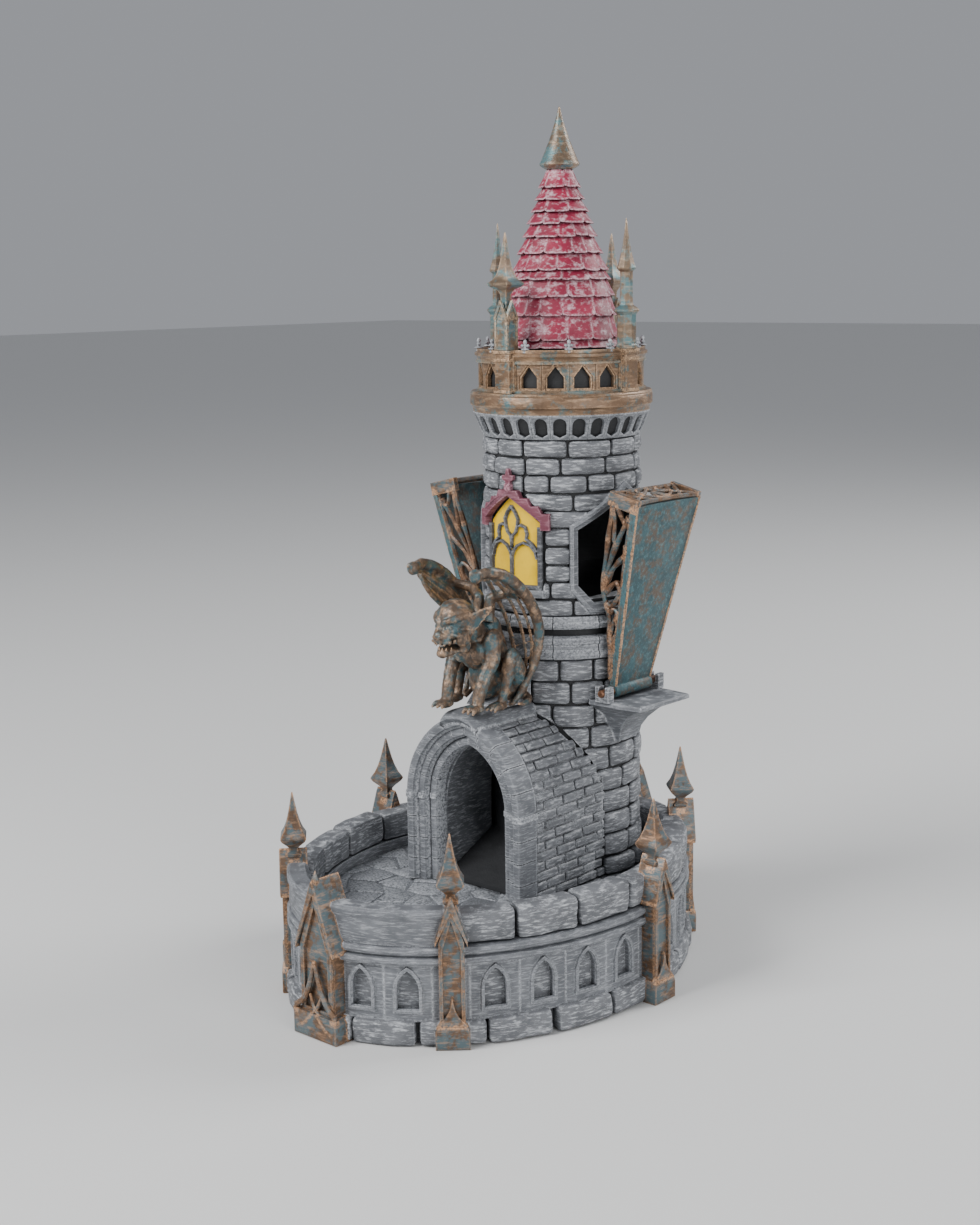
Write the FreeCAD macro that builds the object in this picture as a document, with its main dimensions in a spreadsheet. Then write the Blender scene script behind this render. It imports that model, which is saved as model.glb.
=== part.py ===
import FreeCAD, Part
import math
import os
import re
import Sketcher

# Dice tower with an oval walled tray. Millimetres, +Z up, origin on the ground at the middle of the
# oval plan, front (doorway) towards -Y. The tower stands behind the middle, on its own axis.

SIZES = {
    # oval base and tray
    "plan_half_width": 72.0,
    "plan_half_length": 94.0,
    "tower_axis": 44.0,
    "plinth_height": 10.0,
    "plinth_step": 3.5,
    "core_height": 30.0,
    "moulding_height": 7.5,
    "moulding_inset": 1.0,
    "parapet_height": 13.5,
    "parapet_inset": 2.0,
    "tray_wall": 12.0,
    "paving_thick": 3.6,
    "panel_line": 67.0,
    # buttresses
    "buttress_half": 4.5,
    "buttress_depth": 4.8,
    "foot_half": 6.2,
    "foot_front": 6.0,
    "foot_height": 9.0,
    "gable_eave": 40.0,
    "gable_peak": 53.0,
    "spire_base": 59.0,
    "spire_tip": 78.4,
    "spire_half": 4.8,
    "neck_half": 1.4,
    "front_foot_half": 11.0,
    "front_shaft_half": 8.0,
    "front_face": 4.0,
    "front_eave": 34.5,
    "front_peak": 58.0,
    # tower shafts
    "tower_radius": 31.0,
    "bore_radius": 27.0,
    "foot_flare": 2.5,
    "lower_top": 122.5,
    "belt_height": 9.2,
    "belt_proud": 2.0,
    "neck_gap": 3.1,
    "neck_radius": 29.0,
    "neck_depth": 3.2,
    "fit_clearance": 0.05,
    "seat_gap": 0.3,
    "upper_belt_height": 4.7,
    "upper_top": 208.0,
    # doorway and vault
    "arch_half": 30.0,
    "arch_spring": 68.4,
    "arch_rise": 36.2,
    "arch_depth": 10.0,
    "arch_reach": 31.65,
    "vault_inset": 1.0,
    "door_half": 17.3,
    "door_spring": 61.0,
    "door_rise": 31.0,
    # dice path
    "ramp_back": 74.0,
    "ramp_lip": 1.8,
    "baffle_thick": 3.0,
    "baffle_reach": 31.0,
    "baffle_drop": 16.0,
    "baffle_low_top": 113.0,
    "baffle_middle_top": 154.0,
    "baffle_high_top": 206.0,
    # ledges, hinge pins and hatches
    "ledge_top": 106.5,
    "ledge_reach": 20.5,
    "ledge_half": 17.0,
    "ledge_thick": 4.0,
    "ledge_foot": 88.0,
    "pin_radius": 1.5,
    "pin_clear": 3.2,
    "pin_height": 110.0,
    "pin_half": 19.0,
    "lug_inner": 14.5,
    "lug_thick": 3.5,
    "lug_half": 3.2,
    "lug_height": 6.1,
    "hatch_tilt": 13.5,
    "hatch_foot_half": 11.3,
    "hatch_top_half": 20.5,
    "hatch_rise": 76.8,
    "hatch_thick": 2.5,
    "hatch_depth": 12.7,
    "hatch_lobe": 12.3,
    "tracery_thick": 2.0,
    "barrel_radius": 2.8,
    # side openings and front window
    "opening_half": 22.5,
    "opening_foot_half": 18.0,
    "opening_foot": 143.3,
    "opening_waist": 150.2,
    "opening_shoulder": 174.7,
    "opening_apex": 187.0,
    "frame_width": 2.6,
    "frame_proud": 2.0,
    "window_half": 12.5,
    "window_foot": 150.0,
    "window_spring": 168.0,
    "window_rise": 17.0,
    "pane_thick": 1.5,
    "tracery_ring": 1.5,
    "mullion_half": 1.2,
    "hood_half": 14.5,
    "hood_eave": 177.0,
    "hood_apex": 188.0,
    "hood_fin": 197.0,
    "hood_band": 4.0,
    "hood_proud": 3.6,
    "sill_proud": 3.0,
    "sill_height": 3.0,
    # crown
    "corbel_height": 9.6,
    "corbel_flare": 4.0,
    "balcony_height": 7.9,
    "balcony_radius": 36.0,
    "gallery_height": 12.5,
    "gallery_radius": 32.6,
    "deck_height": 4.0,
    "deck_radius": 34.0,
    "mouth_radius": 20.0,
    "pinnacle_out": 32.5,
    "pinnacle_half": 3.2,
    "pinnacle_eave": 12.0,
    "pinnacle_peak": 18.0,
    "pinnacle_cap": 24.8,
    "pinnacle_tip": 44.0,
    "turret_radius": 3.2,
    "turret_tip": 48.6,
    # roof
    "roof_radius": 21.8,
    "roof_height": 67.4,
    "collar_depth": 3.5,
    "finial_radius": 7.8,
    "finial_lip": 5.0,
    "finial_height": 23.9,
    # figure over the doorway
    "saddle_half": 11.0,
    "saddle_top": 106.5,
    "saddle_foot": 92.0,
    "wing_span": 24.0,
    "wing_tip": 162.0,
    "wing_thick": 2.2,
}

# Distances from the shaft's axis that follow the shaft's radius.
PIN_OUT = "(tower_radius + pin_clear)"
ARCH_OUT = "(tower_radius + arch_reach)"
FRONT = "tower_axis - tower_radius"

PLAN_SIDES = 48          # flats round the oval plan
PLAN_POWER = 1.86        # 2 is a true ellipse; less is a little flatter on the diagonals
ARCH_STEPS = 7           # flats up each side of a pointed arch
ARCH_POINT = 1.25        # rise over half width of the arch that the flats are taken from

doc = FreeCAD.newDocument("DiceTower")
sheet = doc.addObject("Spreadsheet::Sheet", "Sizes")
for row, (word, value) in enumerate(SIZES.items(), start=1):
    sheet.set(f"A{row}", word)
    sheet.set(f"B{row}", str(value))
    sheet.setAlias(f"B{row}", word)
doc.recompute()


def sized(expression):
    """The expression with every size name pointed at the spreadsheet."""
    return re.sub(r"[a-z][a-z_]*", lambda found: f"Sizes.{found.group()}" if found.group() in SIZES
                  else found.group(), str(expression))


def bind(item, **values):
    """Ties properties to the sheet; a double underscore stands for the dot of a sub-property."""
    for name, expression in values.items():
        item.setExpression(name.replace("__", "."), sized(expression))
    return item


def place(item, x=0, y=0, z=0, turn=None, axis=(0, 0, 1)):
    """Puts an object at a point worked out from the sheet, turned about one axis."""
    if turn is not None:
        item.Placement = FreeCAD.Placement(FreeCAD.Vector(), FreeCAD.Rotation(FreeCAD.Vector(*axis), 1))
        bind(item, Placement__Rotation__Angle=turn)
    return bind(item, Placement__Base__x=x, Placement__Base__y=y, Placement__Base__z=z)


def cylinder(name, radius, height, x=0, y="tower_axis", z=0, turn=None, axis=(0, 0, 1)):
    """An upright or turned round bar, from its foot."""
    item = bind(doc.addObject("Part::Cylinder", name), Radius=radius, Height=height)
    return place(item, x, y, z, turn, axis)


def cone(name, foot, top, height, z, x=0, y="tower_axis"):
    """A round taper, from its foot."""
    return place(bind(doc.addObject("Part::Cone", name), Radius1=foot, Radius2=top, Height=height), x, y, z)


def block(name, width, depth, height, x=0, y=0, z=0):
    """A block centred on x and y, from its foot."""
    item = bind(doc.addObject("Part::Box", name), Length=width, Width=depth, Height=height)
    return place(item, f"{x} - ({width}) / 2", f"{y} - ({depth}) / 2", z)


def fuse(name, *items):
    """Several solids made one piece."""
    item = doc.addObject("Part::MultiFuse", name)
    item.Shapes = list(items)
    return item


def cut(name, base, *tools):
    """A solid less one or more others."""
    item = doc.addObject("Part::Cut", name)
    item.Base = base
    item.Tool = tools[0] if len(tools) == 1 else fuse(name + "_tools", *tools)
    return item


def common(name, base, tool):
    """What two solids share."""
    item = doc.addObject("Part::Common", name)
    item.Base, item.Tool = base, tool
    return item


def sketch(body, name, plane, points, offset=0):
    """A closed outline on one of the body's planes; each corner is held by two distances."""
    item = body.newObject("Sketcher::SketchObject", name)
    face = [feature for feature in body.Origin.OriginFeatures if feature.Role == plane + "_Plane"][0]
    item.AttachmentSupport = (face, [""])
    item.MapMode = "FlatFace"
    bind(item, AttachmentOffset__Base__z=offset)
    count = len(points)
    rough = [FreeCAD.Vector(40 * math.cos(2 * math.pi * step / count),
                            40 * math.sin(2 * math.pi * step / count), 0) for step in range(count)]
    item.addGeometry([Part.LineSegment(rough[step], rough[(step + 1) % count]) for step in range(count)])
    item.addConstraint([Sketcher.Constraint("Coincident", step, 2, (step + 1) % count, 1)
                        for step in range(count)])
    for step, (across, up) in enumerate(points):
        for kind, expression, start in (("DistanceX", across, rough[step].x), ("DistanceY", up, rough[step].y)):
            index = item.addConstraint(Sketcher.Constraint(kind, -1, 1, step, 1, start))
            item.setExpression(f"Constraints[{index}]", sized(expression))
    return item


def prism(name, plane, points, length, start=0, x=0, y=0, z=0, turn=None, axis=(0, 0, 1)):
    """An outline padded along its plane's normal: +Z from XY, -Y from XZ and +X from YZ."""
    body = doc.addObject("PartDesign::Body", name)
    outline = sketch(body, name + "_outline", plane, points, start)
    pad = body.newObject("PartDesign::Pad", name + "_pad")
    pad.Profile = outline
    bind(pad, Length=length)
    return place(body, x, y, z, turn, axis)


def turned(name, points, x=0, y="tower_axis", z=0):
    """A profile of radius and height spun round an upright axis."""
    body = doc.addObject("PartDesign::Body", name)
    outline = sketch(body, name + "_profile", "XZ", points)
    spin = body.newObject("PartDesign::Revolution", name + "_spin")
    spin.Profile = outline
    spin.ReferenceAxis = (outline, ["V_Axis"])
    spin.Angle = 360
    return place(body, x, y, z)


def taper(name, foot, top, height, z):
    """A four-sided taper centred on the origin; foot and top are half widths."""
    item = doc.addObject("Part::Wedge", name)
    bind(item, Xmin=f"-({foot})", Xmax=foot, Zmin=f"-({foot})", Zmax=foot, X2min=f"-({top})", X2max=top,
         Z2min=f"-({top})", Z2max=top, Ymin=0, Ymax=height)
    item.Placement = FreeCAD.Placement(FreeCAD.Vector(), FreeCAD.Rotation(FreeCAD.Vector(1, 0, 0), 90))
    return bind(item, Placement__Base__z=z)


def oval(inset):
    """The plan outline, drawn in from the outermost face by an inset."""
    points = []
    for step in range(PLAN_SIDES):
        angle = 2 * math.pi * step / PLAN_SIDES
        across, along = (math.copysign(abs(part) ** (2 / PLAN_POWER), part)
                         for part in (math.cos(angle), math.sin(angle)))
        points.append((f"(plan_half_width - ({inset})) * ({across:.6f})",
                       f"(plan_half_length - ({inset})) * ({along:.6f})"))
    return points


def oval_slab(name, inset, z, height):
    """A slab with the oval plan."""
    return prism(name, "XY", oval(inset), height, z)


def pointed(half, spring, rise, foot):
    """A pointed arch outline, standing on a foot level."""
    shift = (ARCH_POINT ** 2 - 1) / 2
    reach = math.acos(shift / (1 + shift))
    side = [((1 + shift) * math.cos(reach * step / ARCH_STEPS) - shift,
             (1 + shift) * math.sin(reach * step / ARCH_STEPS) / ARCH_POINT) for step in range(ARCH_STEPS)]
    right = [(f"({half}) * {across:.6f}", f"{spring} + ({rise}) * {up:.6f}") for across, up in side]
    left = [(f"-({half}) * {across:.6f}", f"{spring} + ({rise}) * {up:.6f}") for across, up in reversed(side)]
    return [(half, foot)] + right + [("0", f"{spring} + {rise}")] + left + [(f"-({half})", foot)]


pieces = {}


def piece(label, item, **where):
    """Names a finished sub-part."""
    item.Label = label
    if where:
        place(item, **where)
    pieces[label] = item
    return item


# Base: core, plinth, mouldings, parapet, front panels and paving.
PARAPET_FOOT = "core_height + moulding_height"
WALL_TOP = "core_height + moulding_height + parapet_height"
FLOOR = "core_height + paving_thick"

core = piece("base_core", oval_slab("core", "plinth_step", 0, "core_height"))
plinth_full = oval_slab("plinth_full", 0, 0, "plinth_height")
piece("plinth_stones", cut("plinth", plinth_full, oval_slab("plinth_hole", "plinth_step", 0, "plinth_height")))
moulding_full = oval_slab("moulding_full", "moulding_inset", "core_height", "moulding_height")
tray_hole = oval_slab("tray_hole", "tray_wall", "core_height", "moulding_height + parapet_height")
foot_room = cylinder("foot_room", "tower_radius + foot_flare", "moulding_height + parapet_height", z="core_height")
piece("base_moulding", cut("moulding", moulding_full, tray_hole, foot_room))
parapet_full = oval_slab("parapet_full", "parapet_inset", PARAPET_FOOT, "parapet_height")
parapet_ring = cut("parapet_ring", parapet_full, tray_hole)
front_region = block("front_region", "4 * plan_half_width", "plan_half_length", "2 * parapet_height",
                     y="-(panel_line + plan_half_length / 2)", z="core_height")
piece("parapet_stones", cut("parapet", parapet_ring, front_region, foot_room))
front_ring = common("front_ring", parapet_ring, front_region)
for side, sign in (("left", "-"), ("right", "")):
    half = block(f"half_{side}", "2 * plan_half_width", "4 * plan_half_length", "4 * parapet_height",
                 x=f"{sign}plan_half_width", z="core_height")
    piece(f"front_panel_{side}", common(f"panel_{side}", front_ring, half))
piece("floor_paving", oval_slab("paving", "tray_wall", "core_height", "paving_thick"))
wall_body = fuse("wall_body", plinth_full, core, moulding_full, parapet_full)


# Buttresses: foot, gabled shaft and, on six of them, a collared spire. Built facing -Y on their axis.
def gabled(name, half, front, back, foot, eave, peak):
    """An upright shaft with a steep gable, from its front to its back face."""
    outline = [(f"-({half})", foot), (half, foot), (half, eave), ("0", peak), (f"-({half})", eave)]
    return prism(name, "XZ", outline, f"{front} + {back}", f"-({back})")


def spire(name, half, foot, tip):
    """A neck, a collar and a four-sided cap that narrows to its tip."""
    neck = block(name + "_neck", "2 * neck_half", "2 * neck_half", f"{tip} - ({foot}) - 2", z=f"{foot} - 9")
    collar = taper(name + "_collar", f"({half}) * 0.6", f"({half}) * 0.6", 3, f"{foot} - 4")
    lip = taper(name + "_lip", f"({half}) * 0.5", half, 1.5, f"{foot} - 1.5")
    eaves = taper(name + "_eaves", half, f"({half}) * 0.5", f"(({tip}) - ({foot})) * 0.25", foot)
    point = taper(name + "_point", f"({half}) * 0.5", 0.2, f"(({tip}) - ({foot})) * 0.75",
                  f"{foot} + (({tip}) - ({foot})) * 0.25")
    return [neck, collar, lip, eaves, point]


def spired_buttress(label, x, y, turn):
    """One spired buttress on the wall, its back trimmed to the wall's faces."""
    foot = block(label + "_foot", "2 * foot_half", "foot_front + buttress_depth", "foot_height",
                 y="(buttress_depth - foot_front) / 2")
    shaft = gabled(label + "_shaft", "buttress_half", "buttress_depth", "buttress_depth", 0,
                   "gable_eave", "gable_peak")
    whole = fuse(label + "_whole", foot, shaft, *spire(label + "_spire", "spire_half", "spire_base", "spire_tip"))
    place(whole, x, y, 0, turn)
    piece(label, cut(label, whole, wall_body))


def broad_buttress(label, turn):
    """The broad buttress on the long axis, with a gable and no spire."""
    face = "plan_half_length + front_face"
    foot = block(label + "_foot", "2 * front_foot_half", "plinth_step + front_face + 1", "foot_height",
                 y=f"-({face}) + (plinth_step + front_face + 1) / 2")
    shaft = gabled(label + "_shaft", "front_shaft_half", f"{face} - 1.5", f"-({face} - 14)", 0,
                   "front_eave", "front_peak")
    whole = place(fuse(label + "_whole", foot, shaft), turn=turn)
    piece(label, cut(label, whole, wall_body))


# Places of the spired buttresses as shares of the plan, with the way each one faces.
SPIRED = {"front": (0.569, -0.729, 43), "side": (0.978, 0.117, 90), "rear": (0.475, 0.828, 137)}
for where, (across, along, facing) in SPIRED.items():
    for side, sign in (("left", -1), ("right", 1)):
        spired_buttress(f"buttress_{where}_{side}", f"plan_half_width * ({sign * across})",
                        f"plan_half_length * ({along})", sign * facing)
broad_buttress("buttress_front", 0)
broad_buttress("buttress_back", 180)


# Lower shaft with its belt and the neck that the upper shaft sits on.
BELT_TOP = "lower_top + belt_height"
UPPER_FOOT = "lower_top + belt_height + neck_gap"
bore = cylinder("bore", "bore_radius", "upper_top", z=FLOOR)
drum = cylinder("drum", "tower_radius", "upper_top", z=FLOOR)
door = prism("door", "XZ", pointed("door_half", "door_spring", "door_rise", FLOOR),
             "tower_axis + plan_half_length", "-tower_axis")
shaft = turned("shaft", [("bore_radius", FLOOR), ("tower_radius + foot_flare", FLOOR),
                         ("tower_radius + foot_flare", f"{FLOOR} + 7"), ("tower_radius", f"{FLOOR} + 12"),
                         ("tower_radius", "lower_top"), ("bore_radius", "lower_top")])
piece("lower_tower", cut("lower_shaft", shaft, door))
belt_full = cylinder("belt_full", "tower_radius + belt_proud", "belt_height", z="lower_top")
piece("lower_belt", cut("belt", belt_full, bore))
neck_full = cylinder("neck_full", "neck_radius", "neck_gap + neck_depth - seat_gap", z=BELT_TOP)
piece("neck_ring", cut("neck", neck_full, bore))

# Doorway arch and the vault from it back to the shaft.
FACE = f"{ARCH_OUT} - tower_axis"
arch_full = prism("arch_full", "XZ", pointed("arch_half", "arch_spring", "arch_rise", FLOOR), "arch_depth",
                  f"{FACE} - arch_depth")
piece("arch_surround", cut("arch", arch_full, door))
vault_full = prism("vault_full", "XZ", pointed("arch_half - vault_inset", "arch_spring",
                                               "arch_rise - vault_inset", FLOOR),
                   f"{ARCH_OUT} - arch_depth", "-tower_axis")
flare = turned("flare", [("0", FLOOR), ("tower_radius + foot_flare", FLOOR),
                         ("tower_radius + foot_flare", f"{FLOOR} + 7"), ("tower_radius", f"{FLOOR} + 12"),
                         ("tower_radius", "lower_top"), ("0", "lower_top")])
piece("portico_vault", cut("vault", vault_full, door, flare))

# Dice path: a ramp at the foot of the bore and three baffles above it.
ramp_slope = prism("ramp_slope", "YZ", [(f"-({ARCH_OUT} - arch_depth)", FLOOR), ("bore_radius", FLOOR),
                                        ("bore_radius", "ramp_back"),
                                        (f"-({ARCH_OUT} - arch_depth)", f"{FLOOR} + ramp_lip")],
                   "2 * bore_radius", "-bore_radius", y="tower_axis")
piece("exit_ramp", common("ramp", ramp_slope, fuse("ramp_room", door, bore)))


def baffle(label, side, top):
    """A sloping plate from one wall of the bore, past the axis, with the drop gap beyond its lip."""
    wall, lip = f"{side}bore_radius", f"{side}(bore_radius - baffle_reach)"
    outline = [(wall, top), (wall, f"{top} - baffle_thick"), (lip, f"{top} - baffle_drop - baffle_thick"),
               (lip, f"{top} - baffle_drop")]
    plate = prism(label + "_plate", "YZ", outline, "2 * bore_radius", "-bore_radius", y="tower_axis")
    piece(label, common(label, plate, bore))


baffle("baffle_low", "-", "baffle_low_top")
baffle("baffle_middle", "", "baffle_middle_top")
baffle("baffle_high", "-", "baffle_high_top")

# Ledges under the hatches, their lugs, and the hatches themselves, one on each side.
LEDGE = [("0", "ledge_top"), ("tower_radius + ledge_reach", "ledge_top"),
         ("tower_radius + ledge_reach", "ledge_top - ledge_thick"),
         ("tower_radius + ledge_reach - 5", "ledge_top - ledge_thick - 2"),
         ("tower_radius + 9", "ledge_foot + 8"),
         ("tower_radius + 3.5", "ledge_foot"), ("0", "ledge_foot")]


def across(side, points):
    """Outline points turned to face the left or right side."""
    return [(f"{side}({out})", up) for out, up in points]


for name, side in (("left", "-"), ("right", "")):
    ledge_full = prism(f"ledge_full_{name}", "XZ", across(side, LEDGE), "2 * ledge_half", "-ledge_half",
                       y="tower_axis")
    piece(f"ledge_{name}", cut(f"ledge_{name}", ledge_full, drum))
    lugs = [block(f"lug_{name}_{end}", "2 * lug_half", "lug_thick", "lug_height", x=f"{side}{PIN_OUT}",
                  y=f"tower_axis {sign} (lug_inner + lug_thick / 2)", z="ledge_top")
            for end, sign in (("front", "-"), ("back", "+"))]
    seat = cylinder(f"pin_seat_{name}", "pin_radius + fit_clearance", "4 * ledge_half", x=f"{side}{PIN_OUT}",
                    y="tower_axis + 2 * ledge_half", z="pin_height", turn=90, axis=(1, 0, 0))
    slot = block(f"pin_slot_{name}", "2 * (pin_radius + fit_clearance)", "4 * ledge_half", "2 * lug_height",
                 x=f"{side}{PIN_OUT}", y="tower_axis", z="pin_height")
    piece(f"hinge_lugs_{name}", cut(f"hinge_lugs_{name}", fuse(f"lugs_{name}", *lugs),
                                    seat, slot))
    pin = cylinder(f"pin_{name}", "pin_radius", "2 * pin_half", x=f"{side}{PIN_OUT}",
                   y="tower_axis + pin_half", z="pin_height", turn=90, axis=(1, 0, 0))
    piece(f"hinge_pin_{name}", pin)

    lean = dict(x=f"{side}{PIN_OUT}", y="tower_axis", z="pin_height", turn=f"{side}hatch_tilt", axis=(0, 1, 0))
    wall = prism(f"wall_{name}", "YZ", [("-hatch_foot_half", 0), ("hatch_foot_half", 0),
                                        ("hatch_top_half", "hatch_rise"), ("-hatch_top_half", "hatch_rise")],
                 "hatch_thick", "1 - hatch_thick" if side == "" else "-1", **lean)
    barrel = cylinder(f"barrel_{name}", "barrel_radius", "2 * hatch_foot_half", x=f"{side}{PIN_OUT}",
                      y="tower_axis + hatch_foot_half", z="pin_height", turn=90, axis=(1, 0, 0))
    piece(f"hatch_wall_{name}", cut(f"hatch_wall_{name}", fuse(f"hatch_plate_{name}", wall, barrel), pin))
    edge = [("1 - hatch_thick", 3.0), (-3.5, 3.0), (-6.5, 20.0), (-8.5, 32.1), ("-hatch_lobe", 35.5),
            ("-(hatch_depth + 0.5)", 46.0), ("-hatch_depth", "hatch_rise"), ("1 - hatch_thick", "hatch_rise")]
    slab = prism(f"side_{name}", "XZ", across(side, edge), "2 * hatch_top_half", "-hatch_top_half", **lean)
    hollow = prism(f"hollow_{name}", "YZ",
                   [("-(hatch_foot_half - tracery_thick)", -9), ("hatch_foot_half - tracery_thick", -9),
                    ("hatch_top_half - tracery_thick", "hatch_rise + 1"),
                    ("-(hatch_top_half - tracery_thick)", "hatch_rise + 1")],
                   "4 * hatch_depth", "-2 * hatch_depth", **lean)
    outer = prism(f"outer_{name}", "YZ", [("-hatch_foot_half", 0), ("hatch_foot_half", 0),
                                          ("hatch_top_half", "hatch_rise"), ("-hatch_top_half", "hatch_rise")],
                  "4 * hatch_depth", "-2 * hatch_depth", **lean)
    panels = cut(f"panels_{name}", common(f"panel_pair_{name}", slab, outer), hollow)
    piece(f"hatch_tracery_{name}", cut(f"hatch_tracery_{name}", panels, barrel))
    roof = prism(f"hatch_lid_{name}", "XZ", across(side, [("1", "hatch_rise"), ("1", "hatch_rise + 2"),
                                                         ("-hatch_depth", "hatch_rise + 2"),
                                                         ("-hatch_depth", "hatch_rise")]),
                 "2 * hatch_top_half", "-hatch_top_half", **lean)
    piece(f"hatch_top_{name}", roof)

# Upper shaft: seated over the neck, with side openings, a front window and its hood.
shell = turned("shell", [("bore_radius", f"{UPPER_FOOT} + neck_depth"),
                         ("neck_radius + fit_clearance", f"{UPPER_FOOT} + neck_depth"),
                         ("neck_radius + fit_clearance", UPPER_FOOT), ("tower_radius", UPPER_FOOT),
                         ("tower_radius", "upper_top"), ("bore_radius", "upper_top")])


def opening(name, grow):
    """The six-sided side opening, right through the shaft from side to side."""
    half, foot_half = f"opening_half + {grow}", f"opening_foot_half + {grow}"
    right = [(foot_half, f"opening_foot - {grow}"), (half, f"opening_waist - {grow} / 2"),
             (half, f"opening_shoulder + {grow} / 2")]
    left = [(f"-({across_y})", up) for across_y, up in reversed(right)]
    return prism(name, "YZ", right + [("0", f"opening_apex + {grow}")] + left, "4 * tower_radius",
                 "-2 * tower_radius", y="tower_axis")


side_hole = opening("side_hole", 0)
light = prism("light", "XZ", pointed("window_half", "window_spring", "window_rise", "window_foot"),
              "2 * tower_radius", y="tower_axis")
piece("upper_shell", cut("upper_shell", shell, side_hole, light))
frame_ring = cut("frame_ring", cylinder("frame_out", "tower_radius + frame_proud", "upper_top", z=FLOOR), drum)
frames = cut("frames", common("frames_outer", frame_ring, opening("side_frame", "frame_width")), side_hole)
piece("opening_frames", frames)
upper_belt_full = cylinder("upper_belt_full", "tower_radius + belt_proud", "upper_belt_height", z=UPPER_FOOT)
piece("upper_belt", cut("upper_belt_ring", upper_belt_full, drum, opening("belt_gap", "frame_width")))

pane_out = cylinder("pane_out", "tower_radius - tracery_ring", "upper_top", z=FLOOR)
pane_in = cylinder("pane_in", "tower_radius - tracery_ring - pane_thick", "upper_top", z=FLOOR)
piece("window_pane", common("pane", cut("pane_ring", pane_out, pane_in), light))
lancets = [prism(f"lancet_{name}", "XZ",
                 pointed("(window_half - 3 * mullion_half) / 2", "window_spring - window_rise / 3",
                         "window_rise / 2", "window_foot + mullion_half"), "2 * tower_radius",
                 x=f"{sign}(window_half - mullion_half) / 2", y="tower_axis")
           for name, sign in (("left", "-"), ("right", ""))]
piece("window_tracery", cut("tracery", common("tracery_full", cut("tracery_band", drum, pane_out), light),
                            *lancets))
STEPS = 4
hood_side = []
for step in range(STEPS):
    share = step / STEPS
    level = f"hood_eave + hood_band + (hood_apex - hood_eave) * {share + 1 / STEPS}"
    hood_side += [(f"(hood_half + hood_band) * {1 - share}", level),
                  (f"(hood_half + hood_band) * {1 - share - 1 / STEPS} + neck_half", level)]
hood_right = [("hood_half", "hood_eave"), ("hood_half + hood_band", "hood_eave")] + hood_side
hood_left = [(f"-({out})", up) for out, up in reversed(hood_right)]
hood_outline = hood_right + [("0", "hood_fin")] + hood_left + [("0", "hood_apex")]
hood_slab = prism("hood_slab", "XZ", hood_outline, "tower_radius + hood_proud", y="tower_axis")
piece("window_hood", cut("hood", hood_slab, drum))
sill_slab = block("sill_slab", "2 * (window_half + 2)", "tower_radius + sill_proud", "sill_height",
                  y="tower_axis - (tower_radius + sill_proud) / 2", z="window_foot - sill_height")
piece("window_sill", cut("sill", sill_slab, drum))

# Crown: corbels, balcony, gallery, deck with the dice mouth, and four pinnacles.
CORBEL_TOP = "upper_top + corbel_height"
BALCONY_TOP = f"{CORBEL_TOP} + balcony_height"
GALLERY_TOP = f"{BALCONY_TOP} + gallery_height"
DECK_TOP = f"{GALLERY_TOP} + deck_height"
piece("corbel_arcade", turned("corbels", [("bore_radius", "upper_top"), ("tower_radius", "upper_top"),
                                          ("tower_radius + corbel_flare", CORBEL_TOP),
                                          ("bore_radius", CORBEL_TOP)]))
crown_bore = cylinder("crown_bore", "bore_radius", "balcony_height + gallery_height", z=CORBEL_TOP)
balcony_full = cylinder("balcony_full", "balcony_radius", "balcony_height", z=CORBEL_TOP)
piece("balcony_ring", cut("balcony", balcony_full, crown_bore))
gallery_full = cylinder("gallery_full", "gallery_radius", "gallery_height", z=BALCONY_TOP)
piece("gallery_drum", cut("gallery", gallery_full, crown_bore))
deck_full = cylinder("deck_full", "deck_radius", "deck_height", z=GALLERY_TOP)
piece("gallery_deck", cut("deck", deck_full, cylinder("mouth", "mouth_radius", "deck_height", z=GALLERY_TOP)))
for name, turn in (("front", 0), ("back", 180)):
    gable = gabled(f"pinnacle_{name}_gable", "pinnacle_half", "pinnacle_half", "pinnacle_half", 0,
                   "pinnacle_eave", "pinnacle_peak")
    tops = spire(f"pinnacle_{name}_spire", "pinnacle_half + 1", "pinnacle_cap", "pinnacle_tip")
    whole = fuse(f"pinnacle_{name}", gable, *tops)
    side = "-" if name == "front" else "+"
    piece(f"pinnacle_{name}", place(whole, 0, f"tower_axis {side} pinnacle_out", DECK_TOP, turn))
for name, side in (("left", "-"), ("right", "")):
    profile = [("0", 0), ("turret_radius", 0), ("turret_radius", "turret_tip / 4"),
               ("turret_radius + 0.8", "turret_tip / 4 + 1"), ("turret_radius + 0.8", "turret_tip / 4 + 2.5"),
               ("turret_radius * 0.7", "turret_tip / 4 + 3.5"), ("turret_radius * 0.7", "turret_tip / 2 + 2"),
               ("turret_radius + 0.6", "turret_tip / 2 + 4.5"), ("0", "turret_tip")]
    piece(f"pinnacle_{name}", turned(f"turret_{name}", profile, x=f"{side}pinnacle_out", z=DECK_TOP))

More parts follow.
